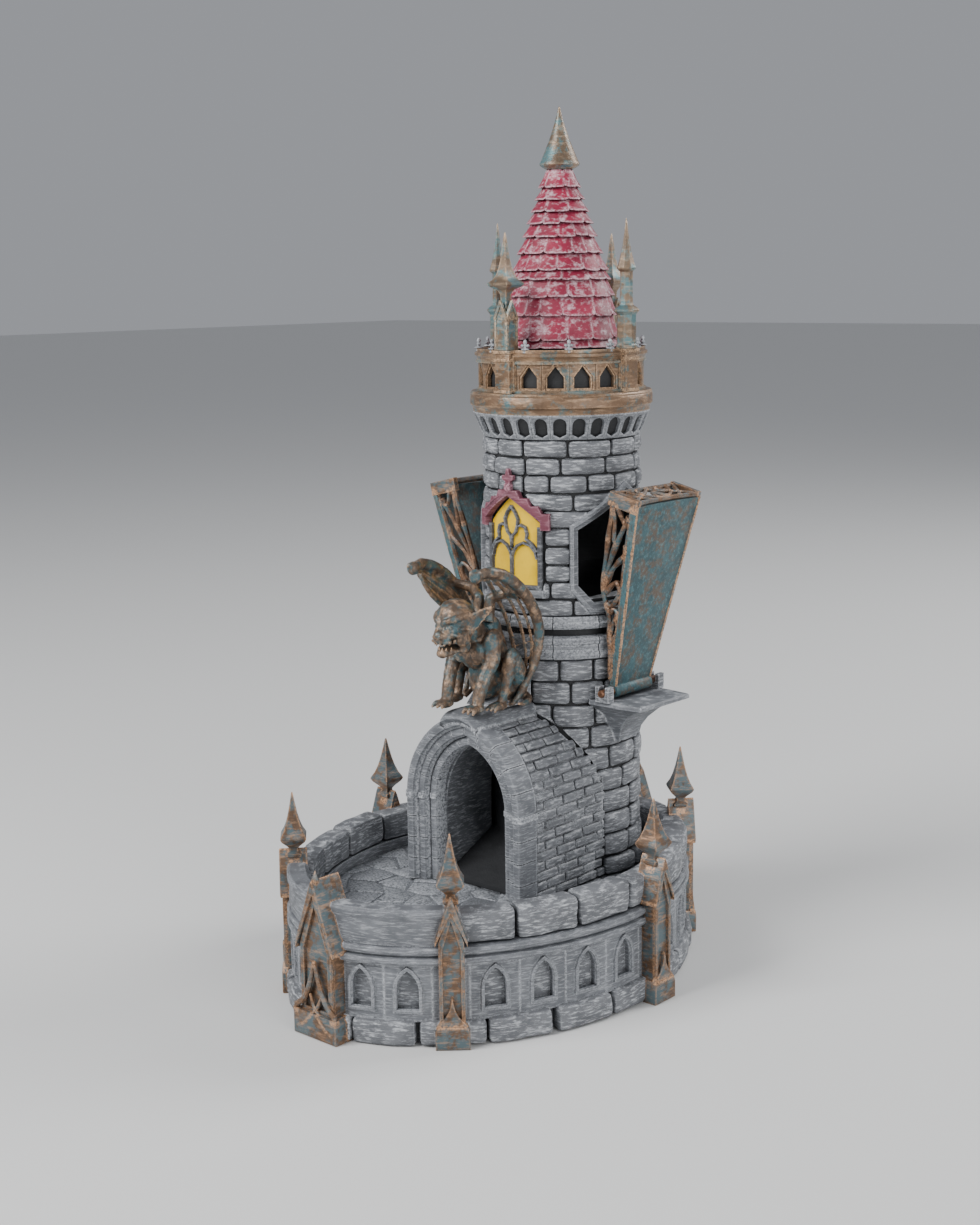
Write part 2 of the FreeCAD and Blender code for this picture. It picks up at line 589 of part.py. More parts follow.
# Roof: a collar in the mouth, the tiled ogee and the finial.
ROOF_FOOT = f"{DECK_TOP} + seat_gap"
OGEE = [(1.0, 0.0), (0.985, 0.1), (0.955, 0.2), (0.9, 0.32), (0.82, 0.42), (0.71, 0.53), (0.58, 0.66),
        (0.44, 0.79), (0.33, 0.89), (0.26, 1.0)]
ogee = [("0", ROOF_FOOT)] + [(f"roof_radius * {out}", f"{ROOF_FOOT} + roof_height * {up}") for out, up in OGEE]
piece("roof_tiles", turned("roof", ogee + [("0", f"{ROOF_FOOT} + roof_height")]))
piece("roof_collar", cylinder("collar", "mouth_radius - fit_clearance", "collar_depth + seat_gap",
                              z=f"{DECK_TOP} - collar_depth"))
ROOF_TOP = f"{ROOF_FOOT} + roof_height"
piece("roof_finial", turned("finial", [("0", ROOF_TOP), ("finial_lip", ROOF_TOP),
                                       ("finial_radius", f"{ROOF_TOP} + 2"),
                                       ("finial_radius * 0.55", f"{ROOF_TOP} + finial_height * 0.35"),
                                       ("finial_radius * 0.2", f"{ROOF_TOP} + finial_height * 0.75"),
                                       ("0", f"{ROOF_TOP} + finial_height")]))

# Figure crouching over the doorway on a saddle astride the vault's ridge.
saddle_slab = prism("saddle_slab", "XZ", [("-saddle_half * 0.6", "saddle_foot"),
                                          ("saddle_half * 0.6", "saddle_foot"),
                                          ("saddle_half", "saddle_top - 3"), ("saddle_half", "saddle_top"),
                                          ("-saddle_half", "saddle_top"), ("-saddle_half", "saddle_top - 3")],
                    f"{ARCH_OUT} + 2", "-tower_axis")
piece("gargoyle_saddle", cut("saddle", saddle_slab, arch_full, vault_full, flare))
BREAST = [("0", 0), (7.5, 0), (9.5, 8), (9.0, 18), (6.5, 27), ("0", 30)]
SKULL = [("0", 0), (4.5, 0), (7.5, 6), (7.5, 12), (4.0, 17), ("0", 18)]
beast = [turned("beast_torso", BREAST, y=f"{FRONT} - 19", z="saddle_top"),
         turned("beast_head", SKULL, y=f"{FRONT} - 31", z="saddle_top + 26"),
         cylinder("beast_neck", 5.2, 18, y=f"{FRONT} - 24", z="saddle_top + 18")]
for side, sign in (("left", "-"), ("right", "")):
    beast.append(cylinder(f"beast_haunch_{side}", 5.5, 14, f"{sign}8.5", f"{FRONT} - 21",
                          "saddle_top"))
    beast.append(cylinder(f"beast_arm_{side}", 3, 27, f"{sign}6.2", f"{FRONT} - 27.5",
                          "saddle_top"))
figure = piece("gargoyle_body", fuse("beast_whole", *beast))
wing_right = [("0", "wing_tip - 40"), ("wing_span * 0.5", "wing_tip - 50"), ("wing_span * 0.8", "wing_tip - 48"),
              ("wing_span", "wing_tip - 30"), ("wing_span", "wing_tip - 12"), ("wing_span * 0.9", "wing_tip"),
              ("wing_span * 0.5", "wing_tip - 16"), ("0", "wing_tip - 24")]
wings = [prism(f"wing_{side}", "XZ", across(sign, wing_right), "wing_thick", f"-({FRONT} - 5)")
         for side, sign in (("left", "-"), ("right", ""))]
piece("gargoyle_wings", cut("wings", fuse("wing_pair", *wings), figure))

doc.recompute()
for item in doc.Objects:
    if "Invalid" in item.State or "Error" in item.State:
        raise SystemExit(f"{item.Name} did not build: {item.State}")
for label, item in pieces.items():
    if item.Shape.isNull() or not item.Shape.isValid():
        raise SystemExit(f"{label} has no valid shape")
os.makedirs("parts", exist_ok=True)
for label, item in pieces.items():
    item.Shape.exportStep(f"parts/{label}.step")
    print(label, len(item.Shape.Solids), round(item.Shape.Volume, 1))
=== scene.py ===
"""A gothic dice tower: masonry shaft, vaulted doorway, oval dice tray, hinged hatches and a tiled roof.

Lengths are millimetres while a mesh is shaped, and become metres when the piece is finished.
"""

import logging
import math
import random
from dataclasses import dataclass, field
from enum import Enum
from typing import Callable, Sequence

import bmesh
import bpy
from mathutils import Matrix, Vector, noise


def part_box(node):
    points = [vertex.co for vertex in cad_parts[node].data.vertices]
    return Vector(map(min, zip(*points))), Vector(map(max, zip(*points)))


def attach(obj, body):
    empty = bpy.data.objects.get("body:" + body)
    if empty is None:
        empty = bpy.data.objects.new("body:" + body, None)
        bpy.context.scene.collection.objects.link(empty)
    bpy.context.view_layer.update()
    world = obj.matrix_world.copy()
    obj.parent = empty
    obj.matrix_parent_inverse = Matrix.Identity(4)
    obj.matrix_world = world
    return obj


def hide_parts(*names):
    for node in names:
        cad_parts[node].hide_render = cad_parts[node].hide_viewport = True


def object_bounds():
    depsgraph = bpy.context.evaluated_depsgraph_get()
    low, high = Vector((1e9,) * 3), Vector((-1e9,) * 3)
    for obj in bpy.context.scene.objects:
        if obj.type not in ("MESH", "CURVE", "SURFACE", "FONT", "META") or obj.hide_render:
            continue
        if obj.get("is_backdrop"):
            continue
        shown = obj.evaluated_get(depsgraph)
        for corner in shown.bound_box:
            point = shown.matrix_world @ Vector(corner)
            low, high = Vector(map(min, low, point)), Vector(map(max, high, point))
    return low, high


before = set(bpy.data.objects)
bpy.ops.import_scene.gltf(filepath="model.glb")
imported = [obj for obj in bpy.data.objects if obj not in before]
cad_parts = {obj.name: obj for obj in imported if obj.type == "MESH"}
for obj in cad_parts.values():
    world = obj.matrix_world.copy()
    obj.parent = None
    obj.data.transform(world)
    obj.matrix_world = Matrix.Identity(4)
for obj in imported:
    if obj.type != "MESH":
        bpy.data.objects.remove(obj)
cad_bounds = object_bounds()

MM = 0.001
Mesh = bmesh.types.BMesh
Vert = bmesh.types.BMVert
Socket = bpy.types.NodeSocket
Outline = Sequence[tuple[float, float]]
Triple = tuple[float, float, float]
UP = Vector((0, 0, 1))
WELD = 1e-4  # points nearer than this become one
OVAL_POWER = 1.86  # of the plan's outline: 2 is a true ellipse, less is flatter on the diagonals
BLOCK_EDGE = 0.15  # the unit block's rounded edge, as a share of its side
ARCH_SPRING = 68.4  # level at which the doorway's arch starts to curve
RIDGE = 104.8  # level of the vault's outer ridge
log = logging.getLogger("dice_tower")


def box_mm(node: str) -> tuple[Vector, Vector]:
    """Lowest and highest corner of a CAD node, in millimetres."""
    low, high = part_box(node)
    return Vector(low) / MM, Vector(high) / MM


# ---------------------------------------------------------------- tracks that pieces follow

@dataclass(frozen=True)
class Spot:
    """A place on a track: its point, the way out of the wall and the way across it."""

    point: Vector
    out: Vector
    up: Vector

    def at(self, out: float, up: float) -> Vector:
        """A point so far out of the wall and so far across it."""
        return self.point + self.out * out + self.up * up


class Track:
    """A line in plan or elevation, measured by its length, that stones and mouldings follow."""

    def __init__(self, points: Sequence[Vector], outs: Sequence[Vector], up: Vector = UP) -> None:
        """Keeps the points and adds up the lengths between them.

        Args:
            points: Points along the line.
            outs: The way out of the wall at each point.
            up: The way across the line, shared by all points.
        """
        self.points = list(points)
        self.outs = list(outs)
        self.up = up
        self.marks = [0.0]
        for first, second in zip(self.points, self.points[1:]):
            self.marks.append(self.marks[-1] + (second - first).length)
        self.length = self.marks[-1]

    def spot(self, reach: float) -> Spot:
        """The place at a length along the line.

        Args:
            reach: Length from the line's start; it wraps round.

        Returns:
            The place there.
        """
        reach = reach % self.length
        low, high = 0, len(self.marks) - 1
        while high - low > 1:
            middle = (low + high) // 2
            if self.marks[middle] > reach:
                high = middle
            else:
                low = middle
        share = (reach - self.marks[low]) / max(self.marks[high] - self.marks[low], 1e-9)
        out = self.outs[low].lerp(self.outs[high], share).normalized()
        return Spot(self.points[low].lerp(self.points[high], share), out, self.up)

    def ring(self, count: int, out: float, up: float) -> list[Vector]:
        """Points at even lengths round the whole line.

        Args:
            count: Number of points.
            out: How far out of the wall they stand.
            up: How far across it.

        Returns:
            The points.
        """
        return [self.spot(self.length * step / count).at(out, up) for step in range(count)]

    def where(self, angle: float) -> float:
        """The length at which the line passes a compass angle about the middle of the plan.

        Args:
            angle: Degrees from the front, turning towards +X.

        Returns:
            The length from the start.
        """
        aim = Vector((math.sin(math.radians(angle)), -math.cos(math.radians(angle))))
        best = max(range(len(self.points)), key=lambda index: self.points[index].xy.normalized().dot(aim))
        return self.marks[best]


def round_track(radius: float, axis_y: float, steps: int = 180) -> Track:
    """A circle about an upright axis, from its front towards +X.

    Args:
        radius: The circle's radius.
        axis_y: Where its axis stands along Y.
        steps: Points round it.

    Returns:
        The track.
    """
    turns = [2 * math.pi * step / steps for step in range(steps + 1)]
    outs = [Vector((math.sin(turn), -math.cos(turn), 0)) for turn in turns]
    return Track([out * radius + Vector((0, axis_y, 0)) for out in outs], outs)


def oval_share(point: Vector, half: Vector) -> float:
    """How far out a point lies in the oval plan of these half sizes: 1 on its line, more outside."""
    return (abs(point.x / half.x) ** OVAL_POWER + abs(point.y / half.y) ** OVAL_POWER) ** (1 / OVAL_POWER)


def oval_track(half_width: float, half_length: float, steps: int = 360) -> Track:
    """The oval plan, from its front towards +X.

    Args:
        half_width: Half of its size along X.
        half_length: Half of its size along Y.
        steps: Points round it.

    Returns:
        The track.
    """
    points = []
    for step in range(steps + 1):
        turn = 2 * math.pi * step / steps
        across, along = (math.copysign(abs(part) ** (2 / OVAL_POWER), part)
                         for part in (math.sin(turn), -math.cos(turn)))
        points.append(Vector((across * half_width, along * half_length, 0)))
    outs = []
    for step in range(steps + 1):
        ahead = points[(step + 2) % steps] - points[(step - 2) % steps]
        outs.append(Vector((ahead.y, -ahead.x, 0)).normalized())
    return Track(points, outs)


def arch_track(half: float, spring: float, rise: float, foot: float, plane_y: float,
               steps: int = 14) -> Track:
    """A pointed arch in an upright plane, from its right foot over the point to its left foot.

    Args:
        half: Half of the arch's width.
        spring: Level at which the curve starts.
        rise: Height of the point over the spring.
        foot: Level of the feet.
        plane_y: Where the plane stands along Y; across the track is +Y.
        steps: Points up each curve.

    Returns:
        The track.
    """
    shift = max((rise ** 2 - half ** 2) / (2 * half), 0.01)
    sweep_angle = math.acos(shift / (half + shift))
    right = [(half, foot + (spring - foot) * step / 6, 0.0) for step in range(6)]
    for step in range(steps + 1):
        turn = sweep_angle * step / steps
        right.append(((half + shift) * math.cos(turn) - shift, spring + (half + shift) * math.sin(turn),
                      turn))
    points = [Vector((across, plane_y, up)) for across, up, _ in right[:-1]]
    outs = [Vector((math.cos(turn), 0, math.sin(turn))) for _, _, turn in right[:-1]]
    left_points = [Vector((-point.x, point.y, point.z)) for point in reversed(points)]
    left_outs = [Vector((-out.x, 0, out.z)) for out in reversed(outs)]
    points += [Vector((0, plane_y, spring + rise))] + left_points
    outs += [UP.copy()] + left_outs
    return Track(points, outs, Vector((0, 1, 0)))


# ---------------------------------------------------------------- mesh tools

Shape = Callable[[Vector], Vector]
Trim = Callable[[float, float], float]
Gap = tuple[float, Callable[[float], float]]


def rough(point: Vector, size: float, amount: float) -> float:
    """A steady random height over the surface, for hand-cut relief."""
    return noise.noise(point / size) * amount


def stretch(part: float, length: float, rounding: float) -> float:
    """Maps a unit block's coordinate to a length while its rounded edge keeps its own size.

    Args:
        part: Coordinate from -0.5 to 0.5.
        length: The wanted full length.
        rounding: The rounded edge's size in millimetres.

    Returns:
        The coordinate in millimetres.
    """
    rounding = min(rounding, length * 0.45)
    inner = 0.5 - BLOCK_EDGE
    if abs(part) > inner:
        return math.copysign(length / 2 - (0.5 - abs(part)) / BLOCK_EDGE * rounding, part)
    return part / inner * (length / 2 - rounding)


def unit_block(cuts: int = 2, segments: int = 2) -> bpy.types.Mesh:
    """A unit cube with rounded edges and divided faces, which stones and tiles are stamped from."""
    bm = bmesh.new()
    bmesh.ops.create_cube(bm, size=1)
    bmesh.ops.bevel(bm, geom=bm.edges[:], offset=BLOCK_EDGE, segments=segments, affect="EDGES", profile=0.5,
                    material=-1)
    if cuts:
        long_edges = [edge for edge in bm.edges if edge.calc_length() > 0.5]
        bmesh.ops.subdivide_edges(bm, edges=long_edges, cuts=cuts, use_grid_fill=True)
    mesh = bpy.data.meshes.new("unit_block")
    bm.to_mesh(mesh)
    bm.free()
    return mesh


def stamp(bm: Mesh, template: bpy.types.Mesh, shape: Shape) -> None:
    """Adds a copy of a template mesh with each point moved by a function."""
    start = len(bm.verts)
    bm.from_mesh(template)
    bm.verts.ensure_lookup_table()
    for vert in bm.verts[start:]:
        vert.co = shape(vert.co)


@dataclass(frozen=True)
class Stone:
    """How one kind of stone is cut."""

    inner: float
    outer: float
    rounding: float = 1.1
    relief: float = 0.35
    crown: float = 0.3
    grain: float = 3.0
    two_faced: bool = False

    def lay(self, bm: Mesh, template: bpy.types.Mesh, track: Track, start: float, width: float,
            level: float, height: float, proud: float = 0.0, trim: Trim | None = None) -> None:
        """Lays one stone along a track.

        Args:
            bm: The mesh to add to.
            template: The unit block.
            track: The line it lies along.
            start: Length at which the stone starts.
            width: Its size along the line.
            level: Its lower edge across the line.
            height: Its size across the line.
            proud: How much further out its face stands.
            trim: Moves a length that falls in an opening to the opening's edge.
        """
        depth = self.outer + proud - self.inner

        def shape(part: Vector) -> Vector:
            """A unit block's point on the wall."""
            along = stretch(part.x, width, self.rounding)
            across = stretch(part.z, height, self.rounding)
            out = self.inner + depth / 2 + stretch(part.y, depth, min(self.rounding, depth * 0.45))
            reach = start + width / 2 + along
            if trim:
                reach = trim(reach, level + height / 2 + across)
            spot = track.spot(reach)
            place = spot.at(out, level + height / 2 + across)
            if part.y > -0.3:
                belly = (1 - (2 * part.x) ** 2) * (1 - (2 * part.z) ** 2)
                place += spot.out * (self.crown * belly + rough(place, self.grain, self.relief))
                place += spot.up * rough(place + Vector((9, 9, 9)), self.grain * 2, self.relief * 0.7)
            elif self.two_faced:
                place -= spot.out * rough(place, self.grain, self.relief)
            return place

        stamp(bm, template, shape)


def sweep(bm: Mesh, rings: Sequence[Sequence[Vector]], closed: bool = False) -> None:
    """Runs a closed section through a row of places, and caps it or joins its ends.

    Args:
        bm: The mesh to add to.
        rings: The section's points at each place.
        closed: True to join the last place to the first.
    """
    count = len(rings[0])
    current = [bm.verts.new(point) for point in rings[0]]
    first = list(current)
    loop = [bm.edges.new((current[step], current[(step + 1) % count])) for step in range(count)]
    for ring in [*rings[1:], *(rings[:1] if closed else [])]:
        index = {vert: step for step, vert in enumerate(current)}
        made = bmesh.ops.extrude_edge_only(bm, edges=loop)["geom"]
        fresh: list[Vert] = [None] * count
        for vert in (item for item in made if isinstance(item, Vert)):
            for edge in vert.link_edges:
                if edge.other_vert(vert) in index:
                    fresh[index[edge.other_vert(vert)]] = vert
        for vert, point in zip(fresh, ring):
            vert.co = point
        fresh_set = set(fresh)
        loop = [item for item in made if isinstance(item, bmesh.types.BMEdge)
                and item.verts[0] in fresh_set and item.verts[1] in fresh_set]
        current = fresh
    if closed:
        bmesh.ops.remove_doubles(bm, verts=first + current, dist=WELD)
    else:
        bm.faces.new(first)
        bm.faces.new(current)


def run(bm: Mesh, track: Track, start: float, stop: float, section: Outline,
        step: float = 2.0, closed: bool = False) -> None:
    """Runs a section along part of a track.

    Args:
        bm: The mesh to add to.
        track: The line to follow.
        start: Length at which it starts.
        stop: Length at which it ends.
        section: Points of the section as out and across distances.
        step: Longest stretch between places.
        closed: True for a full round.
    """
    count = max(int((stop - start) / step), 1)
    reaches = [start + (stop - start) * index / count for index in range(count + (0 if closed else 1))]
    sweep(bm, [[track.spot(reach).at(out, up) for out, up in section] for reach in reaches], closed)


def rod(bm: Mesh, points: Sequence[Vector], radii: Sequence[float], sides: int = 8) -> None:
    """A round bar through a row of points, with its own radius at each.

    Args:
        bm: The mesh to add to.
        points: The bar's centre line.
        radii: The radius at each point.
        sides: Flats round the bar.
    """
    rings = []
    side = Vector((0.31, 0.87, 0.39)).normalized()
    for index, (point, radius) in enumerate(zip(points, radii)):
        ahead = points[min(index + 1, len(points) - 1)] - points[max(index - 1, 0)]
        ahead = ahead.normalized() if ahead.length else UP
        side = (side - ahead * side.dot(ahead)).normalized()
        other = ahead.cross(side)
        rings.append([point + (side * math.cos(turn) + other * math.sin(turn)) * radius
                      for turn in (2 * math.pi * step / sides for step in range(sides))])
    sweep(bm, rings)


def lathe(bm: Mesh, profile: Outline, centre: Vector, steps: int = 96,
          twist: float = 0.0) -> list[Vert]:
    """Spins a profile about an upright axis; four steps make a square-sided piece.

    Args:
        bm: The mesh to add to.
        profile: Radius and height of each point, in order.
        centre: The axis' foot.
        steps: Flats round it.
        twist: Turn of the first flat, in degrees.

    Returns:
        The points that were made.
    """
    before = set(bm.verts)
    turn = Matrix.Rotation(math.radians(twist), 3, "Z")
    verts = [bm.verts.new(turn @ Vector((0, -radius, up)) + centre) for radius, up in profile]
    edges = [bm.edges.new(pair) for pair in zip(verts, verts[1:])]
    bmesh.ops.spin(bm, geom=verts + edges, cent=centre, axis=UP, angle=2 * math.pi, steps=steps,
                   use_merge=True)
    made = [vert for vert in bm.verts if vert not in before]
    bmesh.ops.remove_doubles(bm, verts=made, dist=WELD)
    return [vert for vert in made if vert.is_valid]


def jointed_ring(bm: Mesh, profile: Outline, centre: Vector, count: int,
                 gap: float = 0.45, sunk: float = 0.7, steps: int = 8) -> None:
    """A moulded ring cut into equal stones, over a bed that closes the joints.

    Args:
        bm: The mesh to add to.
        profile: Radius and height of each point, in order, ending where it starts.
        centre: The axis' foot.
        count: Number of stones.
        gap: Width of a joint.
        sunk: Depth of the bed below the stones.
        steps: Flats along a stone.
    """
    inner = min(radius for radius, _ in profile)
    foot, head = min(up for _, up in profile), max(up for _, up in profile)
    bed = [(max(radius - sunk, inner + 0.3) if radius > inner else inner + 0.3,
            min(max(up, foot + 0.3), head - 0.3)) for radius, up in profile]
    lathe(bm, bed, centre)
    outer = max(radius for radius, _ in profile)
    stone, slot = 2 * math.pi / count, gap / outer
    for number in range(count):
        rings = []
        for step in range(steps + 1):
            turn = number * stone + slot / 2 + (stone - slot) * step / steps
            out = Vector((math.sin(turn), -math.cos(turn), 0))
            rings.append([centre + out * radius + UP * up for radius, up in profile[:-1]])
        sweep(bm, rings)


def slab(bm: Mesh, outline: Outline, front: float, back: float,
         holes: Sequence[Outline] = (), bevel: float = 0.0) -> list[Vert]:
    """A flat outline in X and Z given depth along Y, with holes through it.

    Args:
        bm: The mesh to add to.
        outline: The outer corners.
        front: The Y of its front face.
        back: The Y of its back face.
        holes: Corners of each hole.
        bevel: Size of the bevel on its outer front edges, or 0.

    Returns:
        The points that were made.
    """
    piece = bmesh.new()
    edges = []
    for corners in (outline, *holes):
        verts = [piece.verts.new((across, back, up)) for across, up in corners]
        edges += [piece.edges.new((verts[step],
                                   verts[(step + 1) % len(verts)])) for step in range(len(verts))]
    if holes:
        bmesh.ops.triangle_fill(piece, use_beauty=True, edges=edges)
    else:
        bmesh.ops.contextual_create(piece, geom=edges)
    made = bmesh.ops.extrude_face_region(piece, geom=piece.faces[:])["geom"]
    moved = [item for item in made if isinstance(item, Vert)]
    bmesh.ops.translate(piece, verts=moved, vec=(0, front - back, 0))
    bmesh.ops.recalc_face_normals(piece, faces=piece.faces[:])
    if bevel:
        rim = [edge for edge in piece.edges if len(edge.link_faces) == 2
               and edge.calc_face_angle(0) > 0.6
               and all(abs(vert.co.y - front) < 1e-5 for vert in edge.verts)]
        bmesh.ops.bevel(piece, geom=rim, offset=bevel, segments=2, affect="EDGES", profile=0.5, material=-1,
                        clamp_overlap=True)
    mesh = bpy.data.meshes.new("slab")
    piece.to_mesh(mesh)
    piece.free()
    before = set(bm.verts)
    bm.from_mesh(mesh)
    bpy.data.meshes.remove(mesh)
    return [vert for vert in bm.verts if vert not in before]


def prism(bm: Mesh, corners: Sequence[Vector], height: float) -> list[bmesh.types.BMFace]:
    """Raises a flat outline into a closed block.

    Args:
        bm: The mesh to add to.
        corners: Its foot.
        height: How far it rises.

    Returns:
        The faces of its lid.
    """
    verts = [bm.verts.new(corner) for corner in corners]
    foot = bmesh.ops.contextual_create(bm, geom=verts)["faces"]
    raised = bmesh.ops.extrude_face_region(bm, geom=foot)["geom"]
    crest = [item for item in raised if isinstance(item, Vert)]
    bmesh.ops.translate(bm, verts=crest, vec=(0, 0, height))
    return [item for item in raised if isinstance(item, bmesh.types.BMFace)]


def curve(points: Sequence[tuple[float, ...]], steps: int) -> list[tuple[float, ...]]:
    """A smooth line through points, with a number of places from each to the next."""
    line = []
    for index in range(len(points) - 1):
        before, start = Vector(points[max(index - 1, 0)]), Vector(points[index])
        stop, after = Vector(points[index + 1]), Vector(points[min(index + 2, len(points) - 1)])
        for step in range(steps):
            share = step / steps
            place = 0.5 * (2 * start + (stop - before) * share
                           + (2 * before - 5 * start + 4 * stop - after) * share ** 2
                           + (3 * start - 3 * stop + after - before) * share ** 3)
            line.append(tuple(place))
    return line + [tuple(points[-1])]


def ball(bm: Mesh, centre: Vector, radii: Vector, turn: Matrix | None = None, fine: int = 12) -> None:
    """Adds a closed ellipsoid.

    Args:
        bm: The mesh to add to.
        centre: Its middle.
        radii: Its half sizes.
        turn: How it is turned, if at all.
        fine: Flats round it.
    """
    place = Matrix.Translation(centre)
    if turn:
        place = place @ turn.to_4x4()
    place = place @ Matrix.Diagonal((*radii, 1))
    bmesh.ops.create_uvsphere(bm, u_segments=fine, v_segments=max(fine * 2 // 3, 6), radius=1, matrix=place)


def move(verts: Sequence[Vert], matrix: Matrix) -> None:
    """Turns and moves points by a matrix."""
    for vert in verts:
        vert.co = matrix @ vert.co


def pointed_outline(half: float, spring: float, rise: float, foot: float,
                    steps: int = 5) -> list[tuple[float, float]]:
    """Corners of a pointed arch opening, from its right foot round to its left foot."""
    shift = max((rise ** 2 - half ** 2) / (2 * half), 0.01)
    sweep_angle = math.acos(shift / (half + shift))
    right = [((half + shift) * math.cos(sweep_angle * step / steps) - shift,
              spring + (half + shift) * math.sin(sweep_angle * step / steps)) for step in range(steps)]
    left = [(-across, up) for across, up in reversed(right)]
    return [(half, foot), *right, (0, spring + rise), *left, (-half, foot)]


# ---------------------------------------------------------------- finishes

class Graph:
    """A material's node tree, with short calls to add and join nodes."""

    def __init__(self, name: str) -> None:
        """Starts an empty tree that works in millimetres."""
        self.material = bpy.data.materials.new(name)
        self.material.use_nodes = True
        self.tree = self.material.node_tree
        self.shader = self.tree.nodes["Principled BSDF"]
        self.place = self.add("ShaderNodeTexCoord").outputs["Object"]
        self.place = self.scaled((1000, 1000, 1000))

    def add(self, kind: str, **inputs: object) -> bpy.types.Node:
        """Adds a node and sets or links its inputs.

        Args:
            kind: The node's type.
            inputs: Values or sockets by input name; an underscore stands for a space.

        Returns:
            The node.
        """
        node = self.tree.nodes.new(kind)
        for name, value in inputs.items():
            socket = node.inputs[int(name[1:])] if name[0] == "i" and name[1:].isdigit() \
                else node.inputs[name.replace("_", " ")]
            if isinstance(value, Socket):
                self.tree.links.new(value, socket)
            else:
                socket.default_value = value
        return node

    def scaled(self, scale: Triple) -> Socket:
        """The position with its own scale along each axis."""
        return self.add("ShaderNodeMapping", Vector=self.place, Scale=scale).outputs[0]

    def noise(self, size: float, detail: float = 4, roughness: float = 0.55, flat: float = 1.0,
              shift: float = 0.0) -> Socket:
        """A noise pattern.

        Args:
            size: Width of a patch in millimetres.
            detail: Number of finer layers.
            roughness: Strength of the finer layers.
            flat: How many times thinner a patch is along Z than across.
            shift: Moves the pattern, so that two of one size differ.

        Returns:
            The pattern's value.
        """
        spot = self.add("ShaderNodeMapping", Vector=self.place, Scale=(1 / size, 1 / size, flat / size),
                        Location=(shift, shift, shift)).outputs[0]
        return self.add("ShaderNodeTexNoise", Vector=spot, Scale=1.0, Detail=detail,
                        Roughness=roughness).outputs["Fac"]

    def ramp(self, value: Socket, low: float, high: float) -> Socket:
        """The value, 0 below one level and 1 above another."""
        node = self.add("ShaderNodeMapRange", Value=value)
        node.inputs["From Min"].default_value = low
        node.inputs["From Max"].default_value = high
        return node.outputs["Result"]

    def maths(self, operation: str, first: object, second: object = 0.5) -> Socket:
        """One sum of two values, kept between 0 and 1."""
        node = self.add("ShaderNodeMath", i0=first, i1=second)
        node.operation = operation
        node.use_clamp = True
        return node.outputs[0]

    def mix(self, share: Socket, first: object, second: object) -> Socket:
        """The first colour turning into the second."""
        node = self.add("ShaderNodeMix")
        node.data_type = "RGBA"
        for socket, value in ((node.inputs[0], share), (node.inputs[6], first), (node.inputs[7], second)):
            if isinstance(value, Socket):
                self.tree.links.new(value, socket)
            else:
                socket.default_value = (*value, 1)
        return node.outputs[2]

    def shelter(self, reach: float, inside: bool = False) -> Socket:
        """How closely other faces stand round a point: high in a hollow, or inside, high along an edge.

        Args:
            reach: How far away a face still counts, in millimetres.
            inside: True to look into the solid, which finds its edges.

        Returns:
            The pattern's value.
        """
        node = self.add("ShaderNodeAmbientOcclusion", Distance=reach * MM)
        node.samples = 4
        node.inside = inside
        return self.maths("SUBTRACT", 1.0, node.outputs["AO"])

    def relief(self, height: Socket, depth: float) -> None:
        """Joins a bump of a depth in millimetres to the shader."""
        bump = self.add("ShaderNodeBump", Height=height, Distance=depth * MM, Strength=1.0)
        self.tree.links.new(bump.outputs[0], self.shader.inputs["Normal"])


@dataclass(frozen=True)
class Paint:
    """Brushed paint over a cast piece: painted shade in the hollows, a dry brush on the edges, a patina."""

    slot: str
    base: Triple
    # shade is a darker tone of the paint: it gives the random darker patches and the painted shade in hollows
    shade: Triple
    light: Triple
    patina: Triple = (0.05, 0.19, 0.22)
    patina_share: float = 0.0
    edge_share: float = 0.75
    streak_share: float = 0.45
    # how strongly the painted shade darkens the hollows
    hollow_shade_share: float = 0.85
    streak_flat: float = 5.0
    streak_size: float = 7.0
    gloss: float = 0.62
    metal: float = 0.0
    bump: float = 0.22
    title: str = ""

    def material(self) -> bpy.types.Material:
        """The finish as a material, made once."""
        name = "paint_" + (self.title or self.slot)
        made = bpy.data.materials.get(name)
        if made:
            return made
        graph = Graph(name)
        cloud = graph.noise(9, detail=5)
        fine = graph.noise(0.8, detail=3, shift=7)
        streak = graph.noise(self.streak_size, detail=8, roughness=0.72, flat=self.streak_flat, shift=3)
        edge = graph.maths("MULTIPLY", graph.ramp(graph.shelter(0.8, inside=True), 0.12, 0.42),
                           graph.ramp(fine, 0.35, 0.6))
        # painted shade: darker where other faces stand within 2.6 mm, in hollows, corners and joints
        hollow = graph.ramp(graph.shelter(2.6), 0.34, 0.72)
        colour = graph.mix(graph.ramp(cloud, 0.35, 0.65), self.base, tuple(
            (base * 0.55 + shade * 0.45) for base, shade in zip(self.base, self.shade)))
        if self.patina_share:
            blotch = graph.ramp(graph.noise(6, detail=8, roughness=0.7, shift=11),
                                0.62 - self.patina_share * 0.3, 0.72 - self.patina_share * 0.3)
            colour = graph.mix(graph.maths("MULTIPLY", blotch, 0.9), colour, self.patina)
        brushed = graph.maths("MULTIPLY", graph.ramp(streak, 0.5, 0.66), self.streak_share)
        brushed = graph.maths("MAXIMUM", brushed, graph.maths("MULTIPLY", edge, self.edge_share))
        colour = graph.mix(brushed, colour, self.light)
        # lays the painted shade of the hollows into the colour
        colour = graph.mix(graph.maths("MULTIPLY", hollow, self.hollow_shade_share), colour, self.shade)
        graph.tree.links.new(colour, graph.shader.inputs["Base Color"])
        rough_value = graph.add("ShaderNodeMapRange", Value=fine)
        rough_value.inputs["To Min"].default_value = self.gloss - 0.12
        rough_value.inputs["To Max"].default_value = min(self.gloss + 0.12, 1)
        graph.tree.links.new(rough_value.outputs["Result"], graph.shader.inputs["Roughness"])
        graph.shader.inputs["Metallic"].default_value = self.metal
        graph.relief(graph.maths("ADD", graph.maths("MULTIPLY", fine, 0.5),
                                 graph.maths("MULTIPLY", streak, 0.5)),
                     self.bump)
        return graph.material


